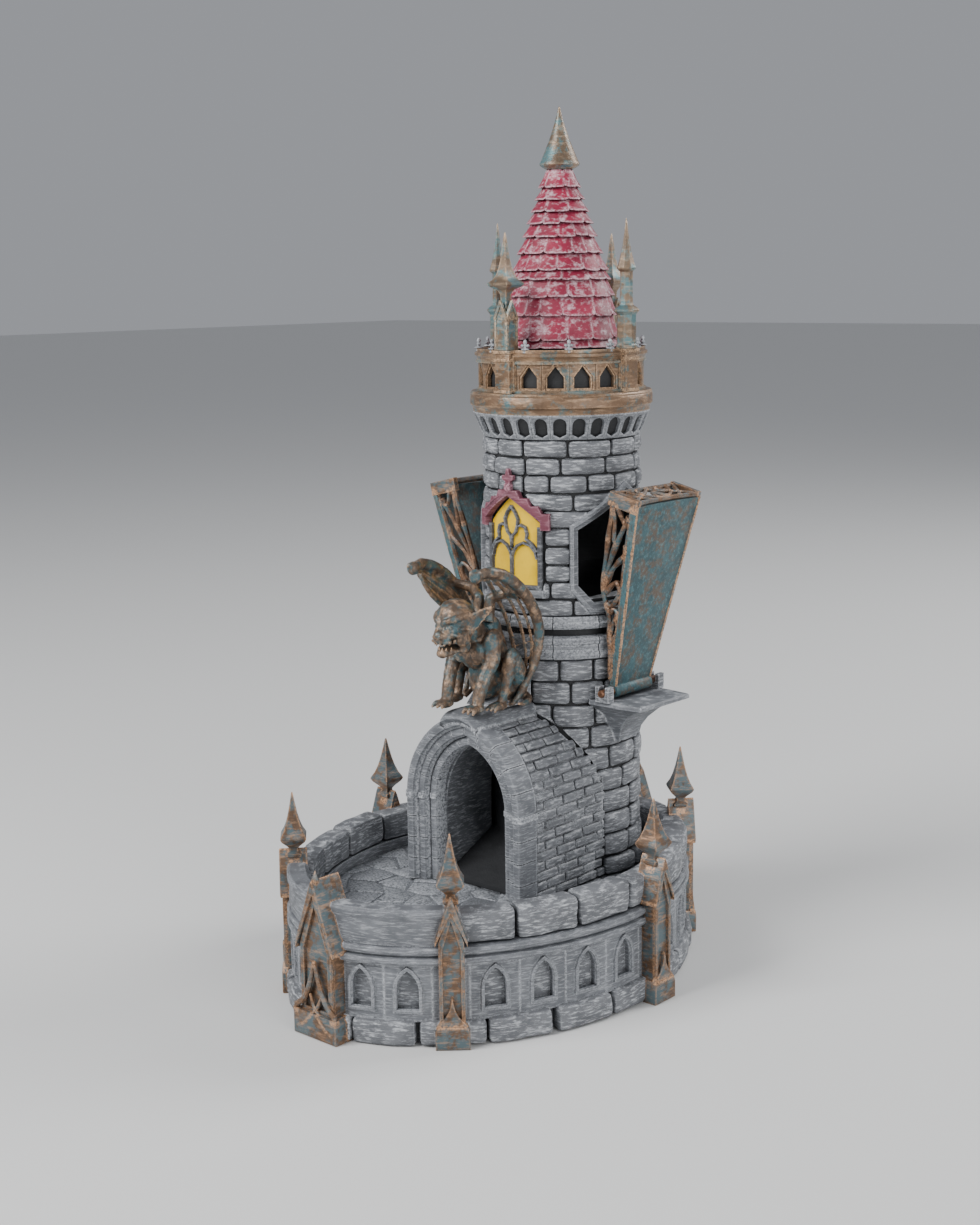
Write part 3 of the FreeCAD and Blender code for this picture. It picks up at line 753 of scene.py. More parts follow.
STONE = Paint("stone_grey", (0.165, 0.172, 0.186), (0.013, 0.015, 0.019), (0.66, 0.68, 0.71),
              streak_share=0.8, streak_size=4.5, streak_flat=6, edge_share=0.85)
SMOOTH = Paint("smooth_stone", (0.165, 0.174, 0.19), (0.022, 0.025, 0.031), (0.6, 0.62, 0.65),
               streak_share=0.55, streak_size=5, streak_flat=9, bump=0.12, edge_share=0.8)
PAVING = Paint("paving_grey", (0.12, 0.127, 0.14), (0.012, 0.014, 0.017), (0.46, 0.48, 0.51), streak_flat=1,
               edge_share=0.85)
BRICK = Paint("brick_grey", (0.17, 0.178, 0.192), (0.01, 0.012, 0.016), (0.66, 0.68, 0.71),
              streak_share=0.65, streak_size=4.0, edge_share=0.9)
# Near-black painted shade for the tower's inside and the backs of its openings and niches, where shade falls.
PAINTED_SHADE = Paint("dark_inside", (0.018, 0.019, 0.021), (0.004, 0.004, 0.005), (0.05, 0.052, 0.056),
             streak_share=0.2, edge_share=0.2)
COPPER = Paint("verdigris_copper", (0.15, 0.088, 0.052), (0.02, 0.016, 0.013), (0.66, 0.37, 0.2),
               patina=(0.085, 0.135, 0.155), patina_share=0.6, streak_share=0.45, gloss=0.4, metal=0.35,
               edge_share=0.9)
VERDIGRIS = Paint("verdigris_copper", (0.2, 0.135, 0.085), (0.024, 0.02, 0.017), (0.62, 0.45, 0.3),
                  patina=(0.085, 0.19, 0.21), patina_share=0.5, streak_share=0.4, gloss=0.4, metal=0.35,
                  edge_share=0.7, title="verdigris")
GILT = Paint("verdigris_copper", (0.21, 0.125, 0.072), (0.022, 0.018, 0.014), (0.66, 0.44, 0.27),
             patina=(0.06, 0.15, 0.17), patina_share=0.3, streak_share=0.5, gloss=0.38, metal=0.4,
             edge_share=0.8, title="gilt")
TRACERY = Paint("tracery_copper", (0.12, 0.062, 0.034), (0.012, 0.01, 0.009), (0.58, 0.33, 0.19),
                patina=(0.03, 0.11, 0.14), patina_share=0.5, streak_share=0.4, gloss=0.4, metal=0.35,
                edge_share=0.75)
TEAL = Paint("hatch_teal", (0.045, 0.105, 0.12), (0.012, 0.018, 0.022), (0.12, 0.27, 0.3),
             patina=(0.11, 0.075, 0.052), patina_share=0.5, streak_share=0.6, streak_flat=1,
             streak_size=1.6, gloss=0.5, metal=0.15, edge_share=0.5)
PIN = Paint("pin_copper", (0.24, 0.11, 0.06), (0.05, 0.025, 0.015), (0.6, 0.33, 0.2), gloss=0.35, metal=0.7)
CRIMSON = Paint("roof_crimson", (0.33, 0.018, 0.055), (0.06, 0.004, 0.012), (0.76, 0.6, 0.65),
                streak_share=0.75, streak_flat=1.6, streak_size=3.6, edge_share=0.7, gloss=0.45)
YELLOW = Paint("pane_yellow", (0.95, 0.6, 0.003), (0.5, 0.27, 0.002), (0.92, 0.62, 0.02), streak_share=0.3,
               edge_share=0.2, hollow_shade_share=0.2, bump=0.08, gloss=0.5)
PINK = Paint("hood_pink", (0.17, 0.04, 0.065), (0.03, 0.01, 0.015), (0.55, 0.3, 0.36), gloss=0.55,
             streak_share=0.4)
GREY = Paint("tracery_grey", (0.06, 0.063, 0.07), (0.02, 0.02, 0.022), (0.5, 0.52, 0.55), bump=0.1,
             edge_share=0.5, hollow_shade_share=0.5)
BEAST = Paint("gargoyle_grey", (0.125, 0.085, 0.058), (0.008, 0.014, 0.017), (0.72, 0.45, 0.27),
              patina=(0.045, 0.112, 0.132), patina_share=0.46, streak_share=0.5, streak_flat=1,
              streak_size=3.5, edge_share=0.95, hollow_shade_share=0.9, gloss=0.42, metal=0.25)


class Body(Enum):
    """The bodies that pieces ride on."""

    BASE = "base"
    UPPER = "upper_tower"
    ROOF = "roof"
    HATCH_LEFT = "hatch_left"
    HATCH_RIGHT = "hatch_right"


class Side(Enum):
    """The two sides, with the sign of X."""

    LEFT = -1
    RIGHT = 1

    @property
    def word(self) -> str:
        """The side's name in node names."""
        return self.name.lower()


@dataclass
class Maker:
    """Turns finished meshes into pieces and remembers them."""

    block: bpy.types.Mesh = field(default_factory=unit_block)
    coarse: bpy.types.Mesh = field(default_factory=lambda: unit_block(cuts=1, segments=1))
    names: list[str] = field(default_factory=list)

    def piece(self, bm: Mesh, name: str, body: Body, paint: Paint, replaces: Sequence[str] = (),
              outward: bool = True, crease: float = 40.0) -> bpy.types.Object:
        """Makes a piece from a mesh drawn in millimetres.

        Args:
            bm: The mesh, which is freed.
            name: The piece's name.
            body: The body it rides on.
            paint: Its finish.
            replaces: CAD nodes that it stands for.
            outward: True to turn every closed shell's faces outwards.
            crease: Edges sharper than this many degrees stay sharp.

        Returns:
            The object.
        """
        bmesh.ops.scale(bm, vec=(MM, MM, MM), verts=bm.verts[:])
        if outward:
            bmesh.ops.recalc_face_normals(bm, faces=bm.faces[:])
        mesh = bpy.data.meshes.new(name)
        bm.to_mesh(mesh)
        bm.free()
        mesh.shade_smooth()
        mesh.set_sharp_from_angle(angle=math.radians(crease))
        item = bpy.data.objects.new(name, mesh)
        bpy.context.scene.collection.objects.link(item)
        mesh.materials.append(paint.material())
        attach(item, body.value)
        if replaces:
            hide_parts(*replaces)
        self.names.append(name)
        log.info("%s: %d faces", name, len(mesh.polygons))
        return item

    def dress(self, paint: Paint, *nodes: str) -> None:
        """Gives CAD nodes that stay in view a finish."""
        for node in nodes:
            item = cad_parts[node]
            item.data.materials.clear()
            item.data.materials.append(paint.material())


def bend(verts: Sequence[Vert], track: Track, reach: float) -> None:
    """Wraps a flat piece, drawn facing -Y about the origin, onto a track at a length."""
    for vert in verts:
        vert.co = track.spot(reach + vert.co.x).at(-vert.co.y, vert.co.z)


def panel_outline(width: float, low: float, high: float, pitch: float = 3.0) -> list[tuple[float, float]]:
    """Corners of an upright panel, with extra points along its long edges so that it can bend."""
    count = max(int(width / pitch), 2)
    row = [-width / 2 + width * step / count for step in range(count + 1)]
    return [(across, low) for across in row] + [(across, high) for across in reversed(row)]


# ---------------------------------------------------------------- base and tray

@dataclass
class TrayBase:
    """The oval base: plinth stones, blind arcade, mouldings, parapet, front panels and paving."""

    maker: Maker
    low: Vector = field(default_factory=lambda: box_mm("plinth_stones")[0])
    high: Vector = field(default_factory=lambda: box_mm("plinth_stones")[1])
    core_inset: float = 3.2
    recess: float = 2.6
    window_pitch: float = 19.0
    stone_pitch: float = 26.0

    def __post_init__(self) -> None:
        """Works out the plan and the levels from the frame."""
        self.track = oval_track(self.high.x, self.high.y)
        self.band_low = box_mm("base_moulding")[0].z
        self.band_high = box_mm("base_moulding")[1].z
        self.top = box_mm("parapet_stones")[1].z
        self.floor = box_mm("floor_paving")[1].z
        self.wall = self.high.x - box_mm("floor_paving")[1].x
        self.random = random.Random(4)
        stations = ("front_right", "side_right", "rear_right", "back", "rear_left", "side_left",
                    "front_left")
        self.reaches = [0.0]
        for station in stations:
            middle = sum(box_mm("buttress_" + station), Vector()) / 2
            self.reaches.append(self.track.where(math.degrees(math.atan2(middle.x, -middle.y))))
        self.reaches.append(self.track.length)

    def build(self) -> None:
        """Makes every piece of the base."""
        self.core()
        self.plinth()
        self.arcade()
        self.mouldings()
        self.parapet()
        self.front_panels()
        self.paving()

    def core(self) -> None:
        """The solid core, which shows at the back of the blind windows and underneath."""
        bm = bmesh.new()
        inset = self.core_inset + self.recess
        prism(bm, self.track.ring(120, -inset, 0.2), self.band_low)
        self.maker.piece(bm, "core_block", Body.BASE, STONE, ["base_core"])

    def plinth(self) -> None:
        """The bottom course of long rough stones."""
        bm = bmesh.new()
        stone = Stone(-6.5, -0.5, rounding=1.8, relief=0.7, crown=0.4, grain=5)
        count = round(self.track.length / self.stone_pitch)
        pitch = self.track.length / count
        for step in range(count):
            slip = self.random.uniform(-0.8, 0.8)
            stone.lay(bm, self.maker.block, self.track, (step + 0.5) * pitch + slip, pitch - 1.1,
                      self.low.z + 0.25, self.high.z - 0.6, self.random.uniform(-0.3, 0.3))
        self.maker.piece(bm, "plinth_course", Body.BASE, STONE, ["plinth_stones"])

    def arcade(self) -> None:
        """The wall over the plinth, pierced by blind pointed windows with raised frames."""
        bm = bmesh.new()
        rims = bmesh.new()
        opening = pointed_outline(4.3, 20.8, 7.6, 13.2)
        for first, last in zip(self.reaches, self.reaches[1:]):
            space = (last - first) - 14
            count = max(round(space / self.window_pitch), 1)
            for step in range(count):
                reach = first + 7 + space * (step + 0.5) / count
                width = space / count
                if step in (0, count - 1):
                    side = -1 if step == 0 else 1
                    end = slab(bm, panel_outline(7.0, self.high.z - 1, self.band_low + 1), self.core_inset,
                               self.core_inset + self.recess + 1)
                    bend(end, self.track, reach + side * (width / 2 + 3.5))
                verts = slab(bm, panel_outline(width, self.high.z - 1, self.band_low + 1), self.core_inset,
                             self.core_inset + self.recess + 1, [opening])
                bend(verts, self.track, reach)
                outer = pointed_outline(5.5, 20.8, 9.1, 12.3)
                rim = slab(rims, outer, self.core_inset - 1.0, self.core_inset + 0.6,
                           [pointed_outline(4.2, 20.8, 7.4, 13.6)], bevel=0.35)
                bend(rim, self.track, reach)
        self.maker.piece(bm, "arcade_wall", Body.BASE, SMOOTH)
        self.maker.piece(rims, "arcade_frames", Body.BASE, SMOOTH)

    def mouldings(self) -> None:
        """Two rolls round the top of the arcade."""
        low, high, back = self.band_low, self.band_high, -self.wall
        section = [(back, low), (-3.2, low), (-1.7, low + 0.5), (-1.1, low + 1.7), (-1.6, low + 3.0),
                   (-2.9, low + 3.6), (-2.9, low + 4.0), (-1.9, low + 4.4), (-1.3, low + 5.6),
                   (-1.8, low + 6.9), (-2.9, high), (back, high)]
        bm = bmesh.new()
        run(bm, self.track, 0, self.track.length, section, 3.0, closed=True)
        self.maker.piece(bm, "wall_mouldings", Body.BASE, SMOOTH, ["base_moulding"])

    def parapet(self) -> None:
        """The block parapet, from the right front buttress round the back to the left one."""
        bm = bmesh.new()
        stone = Stone(-self.wall, -2.3, rounding=2.0, relief=0.9, crown=0.5, grain=5, two_faced=True)
        start, stop = self.reaches[1] - 1, self.reaches[7] + 1
        count = round((stop - start) / self.stone_pitch)
        pitch = (stop - start) / count
        for step in range(count):
            height = self.top - self.band_high - self.random.uniform(0.9, 2.0)
            stone.lay(bm, self.maker.block, self.track, start + step * pitch + 0.4, pitch - 0.8,
                      self.band_high + 0.1, height, self.random.uniform(-0.4, 0.3))
        self.maker.piece(bm, "parapet_blocks", Body.BASE, STONE, ["parapet_stones"])

    def front_panels(self) -> None:
        """Two smooth panels with a rolled rim, either side of the front buttress."""
        low, high = self.band_high, self.top
        section = [(-10.6, low), (-2.6, low), (-2.2, low + 1.5), (-2.5, high - 4.6), (-2.0, high - 3.4),
                   (-1.6, high - 2.6), (-1.7, high - 1.0), (-2.6, high - 0.1), (-5.0, high),
                   (-8.6, high - 0.2), (-9.6, high - 1.2), (-9.7, high - 3.0), (-10.6, high - 4.0)]
        for side, start, stop in ((Side.RIGHT, 0.4, self.reaches[1] - 1.4),
                                  (Side.LEFT, self.reaches[7] + 1.4, self.track.length - 0.4)):
            bm = bmesh.new()
            run(bm, self.track, start, stop, section, 2.5)
            self.maker.piece(bm, "low_panel_" + side.word, Body.BASE, SMOOTH, ["front_panel_" + side.word])

    def paving(self) -> None:
        """Irregular flagstones over a bed, trimmed to the wall."""
        inside = oval_track(self.high.x - self.wall + 0.4, self.high.y - self.wall + 0.4)
        bm = bmesh.new()
        prism(bm, inside.ring(90, 0, self.floor - 3.4), 2.7)
        size, joint, waver = 8.2, 0.75, 9.1
        half = Vector((self.high.x - self.wall, self.high.y - self.wall))
        for row in range(-12, 13):
            for column in range(-9, 10):
                middle = Vector(((column + (row % 2) / 2) * size * 1.732, row * size * 1.5, 0))
                corners = []
                for step in range(6):
                    turn = math.pi / 3 * step + math.pi / 6
                    corner = middle + Vector((math.cos(turn), math.sin(turn), 0)) * size
                    corner += Vector((noise.noise(corner / waver + Vector((3, 0, 0))),
                                      noise.noise(corner / waver + Vector((0, 7, 0))), 0)) * size * 0.9
                    corners.append(corner)
                middle = sum(corners, Vector()) / 6
                if oval_share(middle, half) ** OVAL_POWER > 1.06:
                    continue
                corners = [middle + (corner - middle) * (1 - joint / size) for corner in corners]
                for corner in corners:
                    corner /= max(oval_share(corner, half), 1)
                lift = self.random.uniform(-0.35, 0.05)
                lid = prism(bm, [corner + UP * (self.floor - 1.2) for corner in corners], 0.8 + lift)
                bmesh.ops.inset_region(bm, faces=lid, thickness=0.55, depth=0.0)
                bmesh.ops.translate(bm, verts=lid[0].verts[:], vec=(0, 0, 0.35))
        self.maker.piece(bm, "flagstones", Body.BASE, PAVING, ["floor_paving"])


@dataclass
class Buttresses:
    """Eight copper-painted buttresses: two broad ones on the long axis and six with spires."""

    maker: Maker
    half: float = 4.6
    foot_half: float = 6.2
    eave: float = 40.0
    peak: float = 53.0

    def build(self) -> None:
        """Makes each buttress and sets it at its CAD place."""
        for name in ("front_right", "side_right", "rear_right", "front_left", "side_left", "rear_left"):
            low, high = box_mm("buttress_" + name)
            facing = {"front": 43, "side": 90, "rear": 137}[name.split("_")[0]]
            sign = 1 if name.endswith("right") else -1
            tip = high.z
            bm = bmesh.new()
            self.spired(bm, tip)
            turn = Matrix.Rotation(math.radians(sign * facing), 4, "Z")
            place = self.spire_axis(name, low, high)
            move(bm.verts[:], Matrix.Translation(place) @ turn)
            self.maker.piece(bm, "pier_" + name, Body.BASE, COPPER, ["buttress_" + name])
        for name, facing in (("front", 0), ("back", 180)):
            bm = bmesh.new()
            self.broad(bm, -box_mm("buttress_front")[0].y)
            move(bm.verts[:], Matrix.Rotation(math.radians(facing), 4, "Z"))
            self.maker.piece(bm, "pier_" + name, Body.BASE, COPPER, ["buttress_" + name])

    def spire_axis(self, name: str, low: Vector, high: Vector) -> Vector:
        """Where the spire's axis stands, from the CAD buttress' highest points.

        Args:
            name: The buttress' place.
            low: Its lowest corner.
            high: Its highest corner.

        Returns:
            The axis' foot on the ground.
        """
        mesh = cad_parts["buttress_" + name].data
        tips = [vert.co / MM for vert in mesh.vertices if vert.co.z / MM > high.z - 3]
        middle = sum(tips, Vector()) / len(tips)
        return Vector((middle.x, middle.y, low.z))

    def spired(self, bm: Mesh, tip: float) -> None:
        """One buttress with a gabled shaft, a collar and a four-sided spire, facing -Y.

        Args:
            bm: The mesh to add to.
            tip: Level of the spire's tip.
        """
        half, foot, eave, peak = self.half, self.foot_half, self.eave, self.peak
        slab(bm, [(-foot, 0.1), (foot, 0.1), (foot, 6.6), (foot - 0.9, 8.8), (0.9 - foot, 8.8),
                  (-foot, 6.6)], -6.0, 3.0,
             bevel=0.4)
        ogee = [(foot - 0.3, 8.0), (4.6, 10.0), (2.4, 12.2), (1.0, 15.0), (0.0, 19.5)]
        slab(bm, ogee + [(-across, up) for across, up in reversed(ogee[:-1])], -5.6, -3.5, bevel=0.3)
        shaft = [(-half, 7), (half, 7), (half, eave), (0, peak), (-half, eave)]
        slab(bm, shaft, -3.8, 4.8)
        panel = [(half - 1.4, 10.5), (half - 1.4, eave - 3), (0, peak - 5.5), (1.4 - half, eave - 3),
                 (1.4 - half, 10.5)]
        slab(bm, shaft, -4.9, -3.6, [panel], bevel=0.3)
        slab(bm, [(half + 1.2, eave - 1.6), (half + 1.2, eave + 0.4), (0.9, peak + 1.6), (0, peak + 3.2),
                  (-0.9, peak + 1.6), (-half - 1.2, eave + 0.4), (-half - 1.2, eave - 1.6),
                  (0, peak - 2.2)],
             -5.7, 5.0, bevel=0.35)
        square = math.sqrt(2)
        profile = [(0, peak - 5), (1.9, peak - 5), (1.7, 52.6), (2.7, 53.4), (2.8, 54.4), (1.7, 55.2),
                   (1.6, 56.4),
                   (2.4, 57.6), (4.3, 59.6), (4.9, 60.8), (4.8, 61.4), (3.6, 63.6), (2.6, 66.4),
                   (1.7, 70.0), (0.8, 74.8), (0.25, tip - 0.3), (0, tip)]
        lathe(bm, [(radius * square, up) for radius, up in profile], Vector(), steps=4, twist=45)

    def broad(self, bm: Mesh, face: float) -> None:
        """The broad front buttress with its tall gable and crossed ribs on its foot, facing -Y.

        Args:
            bm: The mesh to add to.
            face: How far its foot stands out from the middle of the plan.
        """
        slab(bm, [(-11, 0.1), (11, 0.1), (11, 7.5), (9.6, 9.6), (-9.6, 9.6), (-11, 7.5)], -face, -face + 9,
             bevel=0.5)
        shaft = [(-8, 7), (8, 7), (8, 34.5), (0, 57), (-8, 34.5)]
        slab(bm, shaft, -face + 2.8, -face + 14)
        panel = [(6, 11), (6, 33.2), (0, 49.5), (-6, 33.2), (-6, 11)]
        slab(bm, shaft, -face + 1.6, -face + 3.0, [panel], bevel=0.35)
        slab(bm, [(9.6, 32.4), (9.6, 34.8), (1.0, 58), (0, 59.6), (-1.0, 58), (-9.6, 34.8), (-9.6, 32.4),
                  (0, 54)],
             -face + 0.6, -face + 14, bevel=0.4)
        for sign in (-1, 1):
            ogee = [Vector((sign * across, -face + 1.0, up)) for across, up in
                    ((10.2, 8.6), (9.8, 11.0), (7.4, 12.6), (5.2, 15.0), (3.2, 19.0), (1.4, 24.0),
                     (0, 29.5))]
            rod(bm, ogee, [0.9, 1.2, 1.15, 1.1, 1.0, 0.9, 0.6])
            cross = [Vector((sign * across, -face + 1.3, up)) for across, up in
                     ((9.2, 3.2), (5.6, 4.8), (2.2, 8.2), (-1.2, 12.6), (-3.0, 16.5))]
            rod(bm, cross, [0.7, 0.85, 0.85, 0.8, 0.5])
            rod(bm, [Vector((sign * 9.9, -face + 1.2, up)) for up in (8.0, 9.8)], [1.6, 1.6])
        bead = [(0, 57.5), (1.2, 58.2), (1.5, 59.4), (0.9, 60.6), (0.3, 62.4), (0, 63.0)]
        lathe(bm, bead, Vector((0, -face + 3, 0)), steps=8)


# ---------------------------------------------------------------- doorway and shafts

@dataclass
class Doorway:
    """The arch with its receding rolls, and the brick vault that runs back to the shaft."""

    maker: Maker
    brick_long: float = 12.0
    brick_high: float = 3.9

    def __post_init__(self) -> None:
        """Reads the arch's place from the frame."""
        self.low, self.high = box_mm("arch_surround")
        self.axis_y = sum(box_mm("lower_belt"), Vector()).y / 2
        self.track = arch_track(self.high.x, ARCH_SPRING, self.high.z - ARCH_SPRING, self.low.z, self.low.y)
        self.random = random.Random(11)

    def build(self) -> None:
        """Makes the arch and the vault."""
        self.arch()
        self.vault()

    def arch(self) -> None:
        """Three receding rolls in short drums, with impost bands at the springing."""
        section = [(0.0, 10.0), (0.0, 1.5), (-0.6, 0.4), (-2.1, 0.0), (-3.6, 0.4), (-4.2, 1.5), (-4.3, 3.5),
                   (-4.9, 2.7), (-6.3, 2.3), (-7.7, 2.7), (-8.3, 3.6), (-8.4, 5.9), (-9.0, 5.1),
                   (-10.4, 4.7), (-11.9, 5.2), (-12.6, 6.4), (-12.7, 10.0)]
        bed = [(out * 0.9 - 1.15, 1.5 + across * 0.86) for out, across in section]
        bm = bmesh.new()
        run(bm, self.track, 0, self.track.length - 1e-3, bed, 2.5)
        legs = ARCH_SPRING - self.low.z
        drums, voussoirs = 4, 10
        cuts = [legs * step / drums for step in range(drums + 1)]
        head = self.track.length - 2 * legs
        cuts += [legs + head * step / voussoirs for step in range(1, voussoirs)]
        cuts += [self.track.length - cut for cut in reversed(cuts[:drums + 1])]
        for first, last in zip(cuts, cuts[1:]):
            run(bm, self.track, first + 0.15, last - 0.16, section, 2.5)
        band = [(out + (0.6 if out > -0.1 else 0.0), across - 0.5 if across < 10 else across)
                for out, across in section]
        for reach in (legs - 1.2, self.track.length - legs - 1.2):
            run(bm, self.track, reach, reach + 2.4, band, 2.4)
        self.maker.piece(bm, "arch_rolls", Body.BASE, SMOOTH, ["arch_surround"])

    def vault(self) -> None:
        """Small staggered bricks over the vault, up to the curve of the shaft."""
        half = self.high.x - 1
        track = arch_track(half, ARCH_SPRING, self.high.z - 1 - ARCH_SPRING, self.low.z, self.high.y)
        radius = box_mm("upper_shell")[1].x
        brick = Stone(-0.9, 0.95, rounding=0.5, relief=0.3, crown=0.12, grain=2.5)
        bm = bmesh.new()
        rows = round(track.length / self.brick_high)
        pitch = track.length / rows
        for row in range(rows):
            spot = track.spot((row + 0.5) * pitch)
            reach_y = self.axis_y - math.sqrt(max(radius ** 2 - spot.point.x ** 2, 0)) - self.high.y + 0.6
            level = -self.brick_long * (0.5 if row % 2 else 0.0)
            while level < reach_y - 1:
                start = max(level, 0.1)
                stop = min(level + self.brick_long * self.random.uniform(0.9, 1.1), reach_y)
                if stop - start > 2.0:
                    brick.lay(bm, self.maker.coarse, track, row * pitch + 0.3, pitch - 0.6, start + 0.3,
                              stop - start - 0.6, self.random.uniform(-0.25, 0.2))
                level = stop if stop > level else reach_y
        self.maker.piece(bm, "vault_bricks", Body.BASE, BRICK)
        self.maker.dress(BRICK, "portico_vault")


@dataclass
class Shaft:
    """One round masonry shaft: a bed in near-black painted shade with courses of rounded stones, left out at
    its openings.
    """

    maker: Maker
    radius: float
    axis_y: float
    bore: float
    seed: int

    def __post_init__(self) -> None:
        """Lays out the circle that the stones follow."""
        self.track = round_track(self.radius, self.axis_y)
        self.random = random.Random(self.seed)

    def trim(self, gaps: Sequence[Gap]) -> Trim:
        """A function that keeps a stone's edge out of the openings.

        Args:
            gaps: The openings, each with its middle and its half width at a level.

        Returns:
            The function.
        """
        def kept(reach: float, level: float) -> float:
            """The reach, moved to an opening's edge when it falls inside."""
            for centre, half_at in gaps:
                away = (reach - centre + self.track.length / 2) % self.track.length - self.track.length / 2
                half = half_at(level)
                if half > abs(away):
                    return centre + math.copysign(half, away)
            return reach

        return kept

    def arcs(self, gaps: Sequence[Gap], low: float, high: float) -> list[tuple[float, float]]:
        """The stretches of one course that no opening takes.

        Args:
            gaps: The openings.
            low: Lower level of the course.
            high: Upper level of the course.

        Returns:
            The start and end of each stretch.
        """
        closed = []
        for centre, half_at in gaps:
            half = min(half_at(low), half_at((low + high) / 2), half_at(high))
            if half > 0.5:
                closed.append((centre - half, centre + half))
        closed.sort()
        if not closed:
            shift = self.random.uniform(0, 10)
            return [(shift, shift + self.track.length)]
        arcs = []
        for index, (_, end) in enumerate(closed):
            following = closed[(index + 1) % len(closed)][0]
            if index == len(closed) - 1:
                following += self.track.length
            if following - end > 1:
                arcs.append((end, following))
        return arcs

    def bed(self, bm: Mesh, low: float, high: float, gaps: Sequence[Gap] = (), rows: int = 1) -> None:
        """The tube behind the stones, in rows, open at the openings.

        Args:
            bm: The mesh to add to.
            low: Its lower level.
            high: Its upper level.
            gaps: The openings.
            rows: Number of rows that follow the openings' outline.
        """
        pitch = (high - low) / rows
        inner, outer = self.bore - self.radius, -1.5
        for row in range(rows):
            level = low + row * pitch
            for start, stop in self.arcs(gaps, level, level + pitch):
                section = [(inner, level), (outer, level), (outer, level + pitch), (inner, level + pitch)]
                run(bm, self.track, start, stop, section, 4.0,
                    closed=stop - start > self.track.length - 0.01)

    def course(self, bm: Mesh, low: float, high: float, gaps: Sequence[Gap] = (), long: float = 15.5,
               proud: float = 0.0) -> None:
        """One course of stones of uneven length.

        Args:
            bm: The mesh to add to.
            low: The course's lower level.
            high: Its upper level.
            gaps: The openings that interrupt it.
            long: The usual length of a stone.
            proud: How far its faces stand out from the others.
        """
        stone = Stone(-2.2, 0.15, rounding=1.5, relief=0.5, crown=0.45, grain=4)
        trim = self.trim(gaps) if gaps else None
        for start, stop in self.arcs(gaps, low, high):
            count = max(round((stop - start) / long), 1)
            weights = [self.random.uniform(0.75, 1.3) for _ in range(count)]
            share = (stop - start) / sum(weights)
            reach = start
            for weight in weights:
                width = weight * share
                lift = self.random.uniform(-0.25, 0.25)
                stone.lay(bm, self.maker.block, self.track, reach + 0.35, width - 0.7, low + 0.3 + lift,
                          high - low - 0.6, proud + self.random.uniform(-0.35, 0.3), trim)
                reach += width


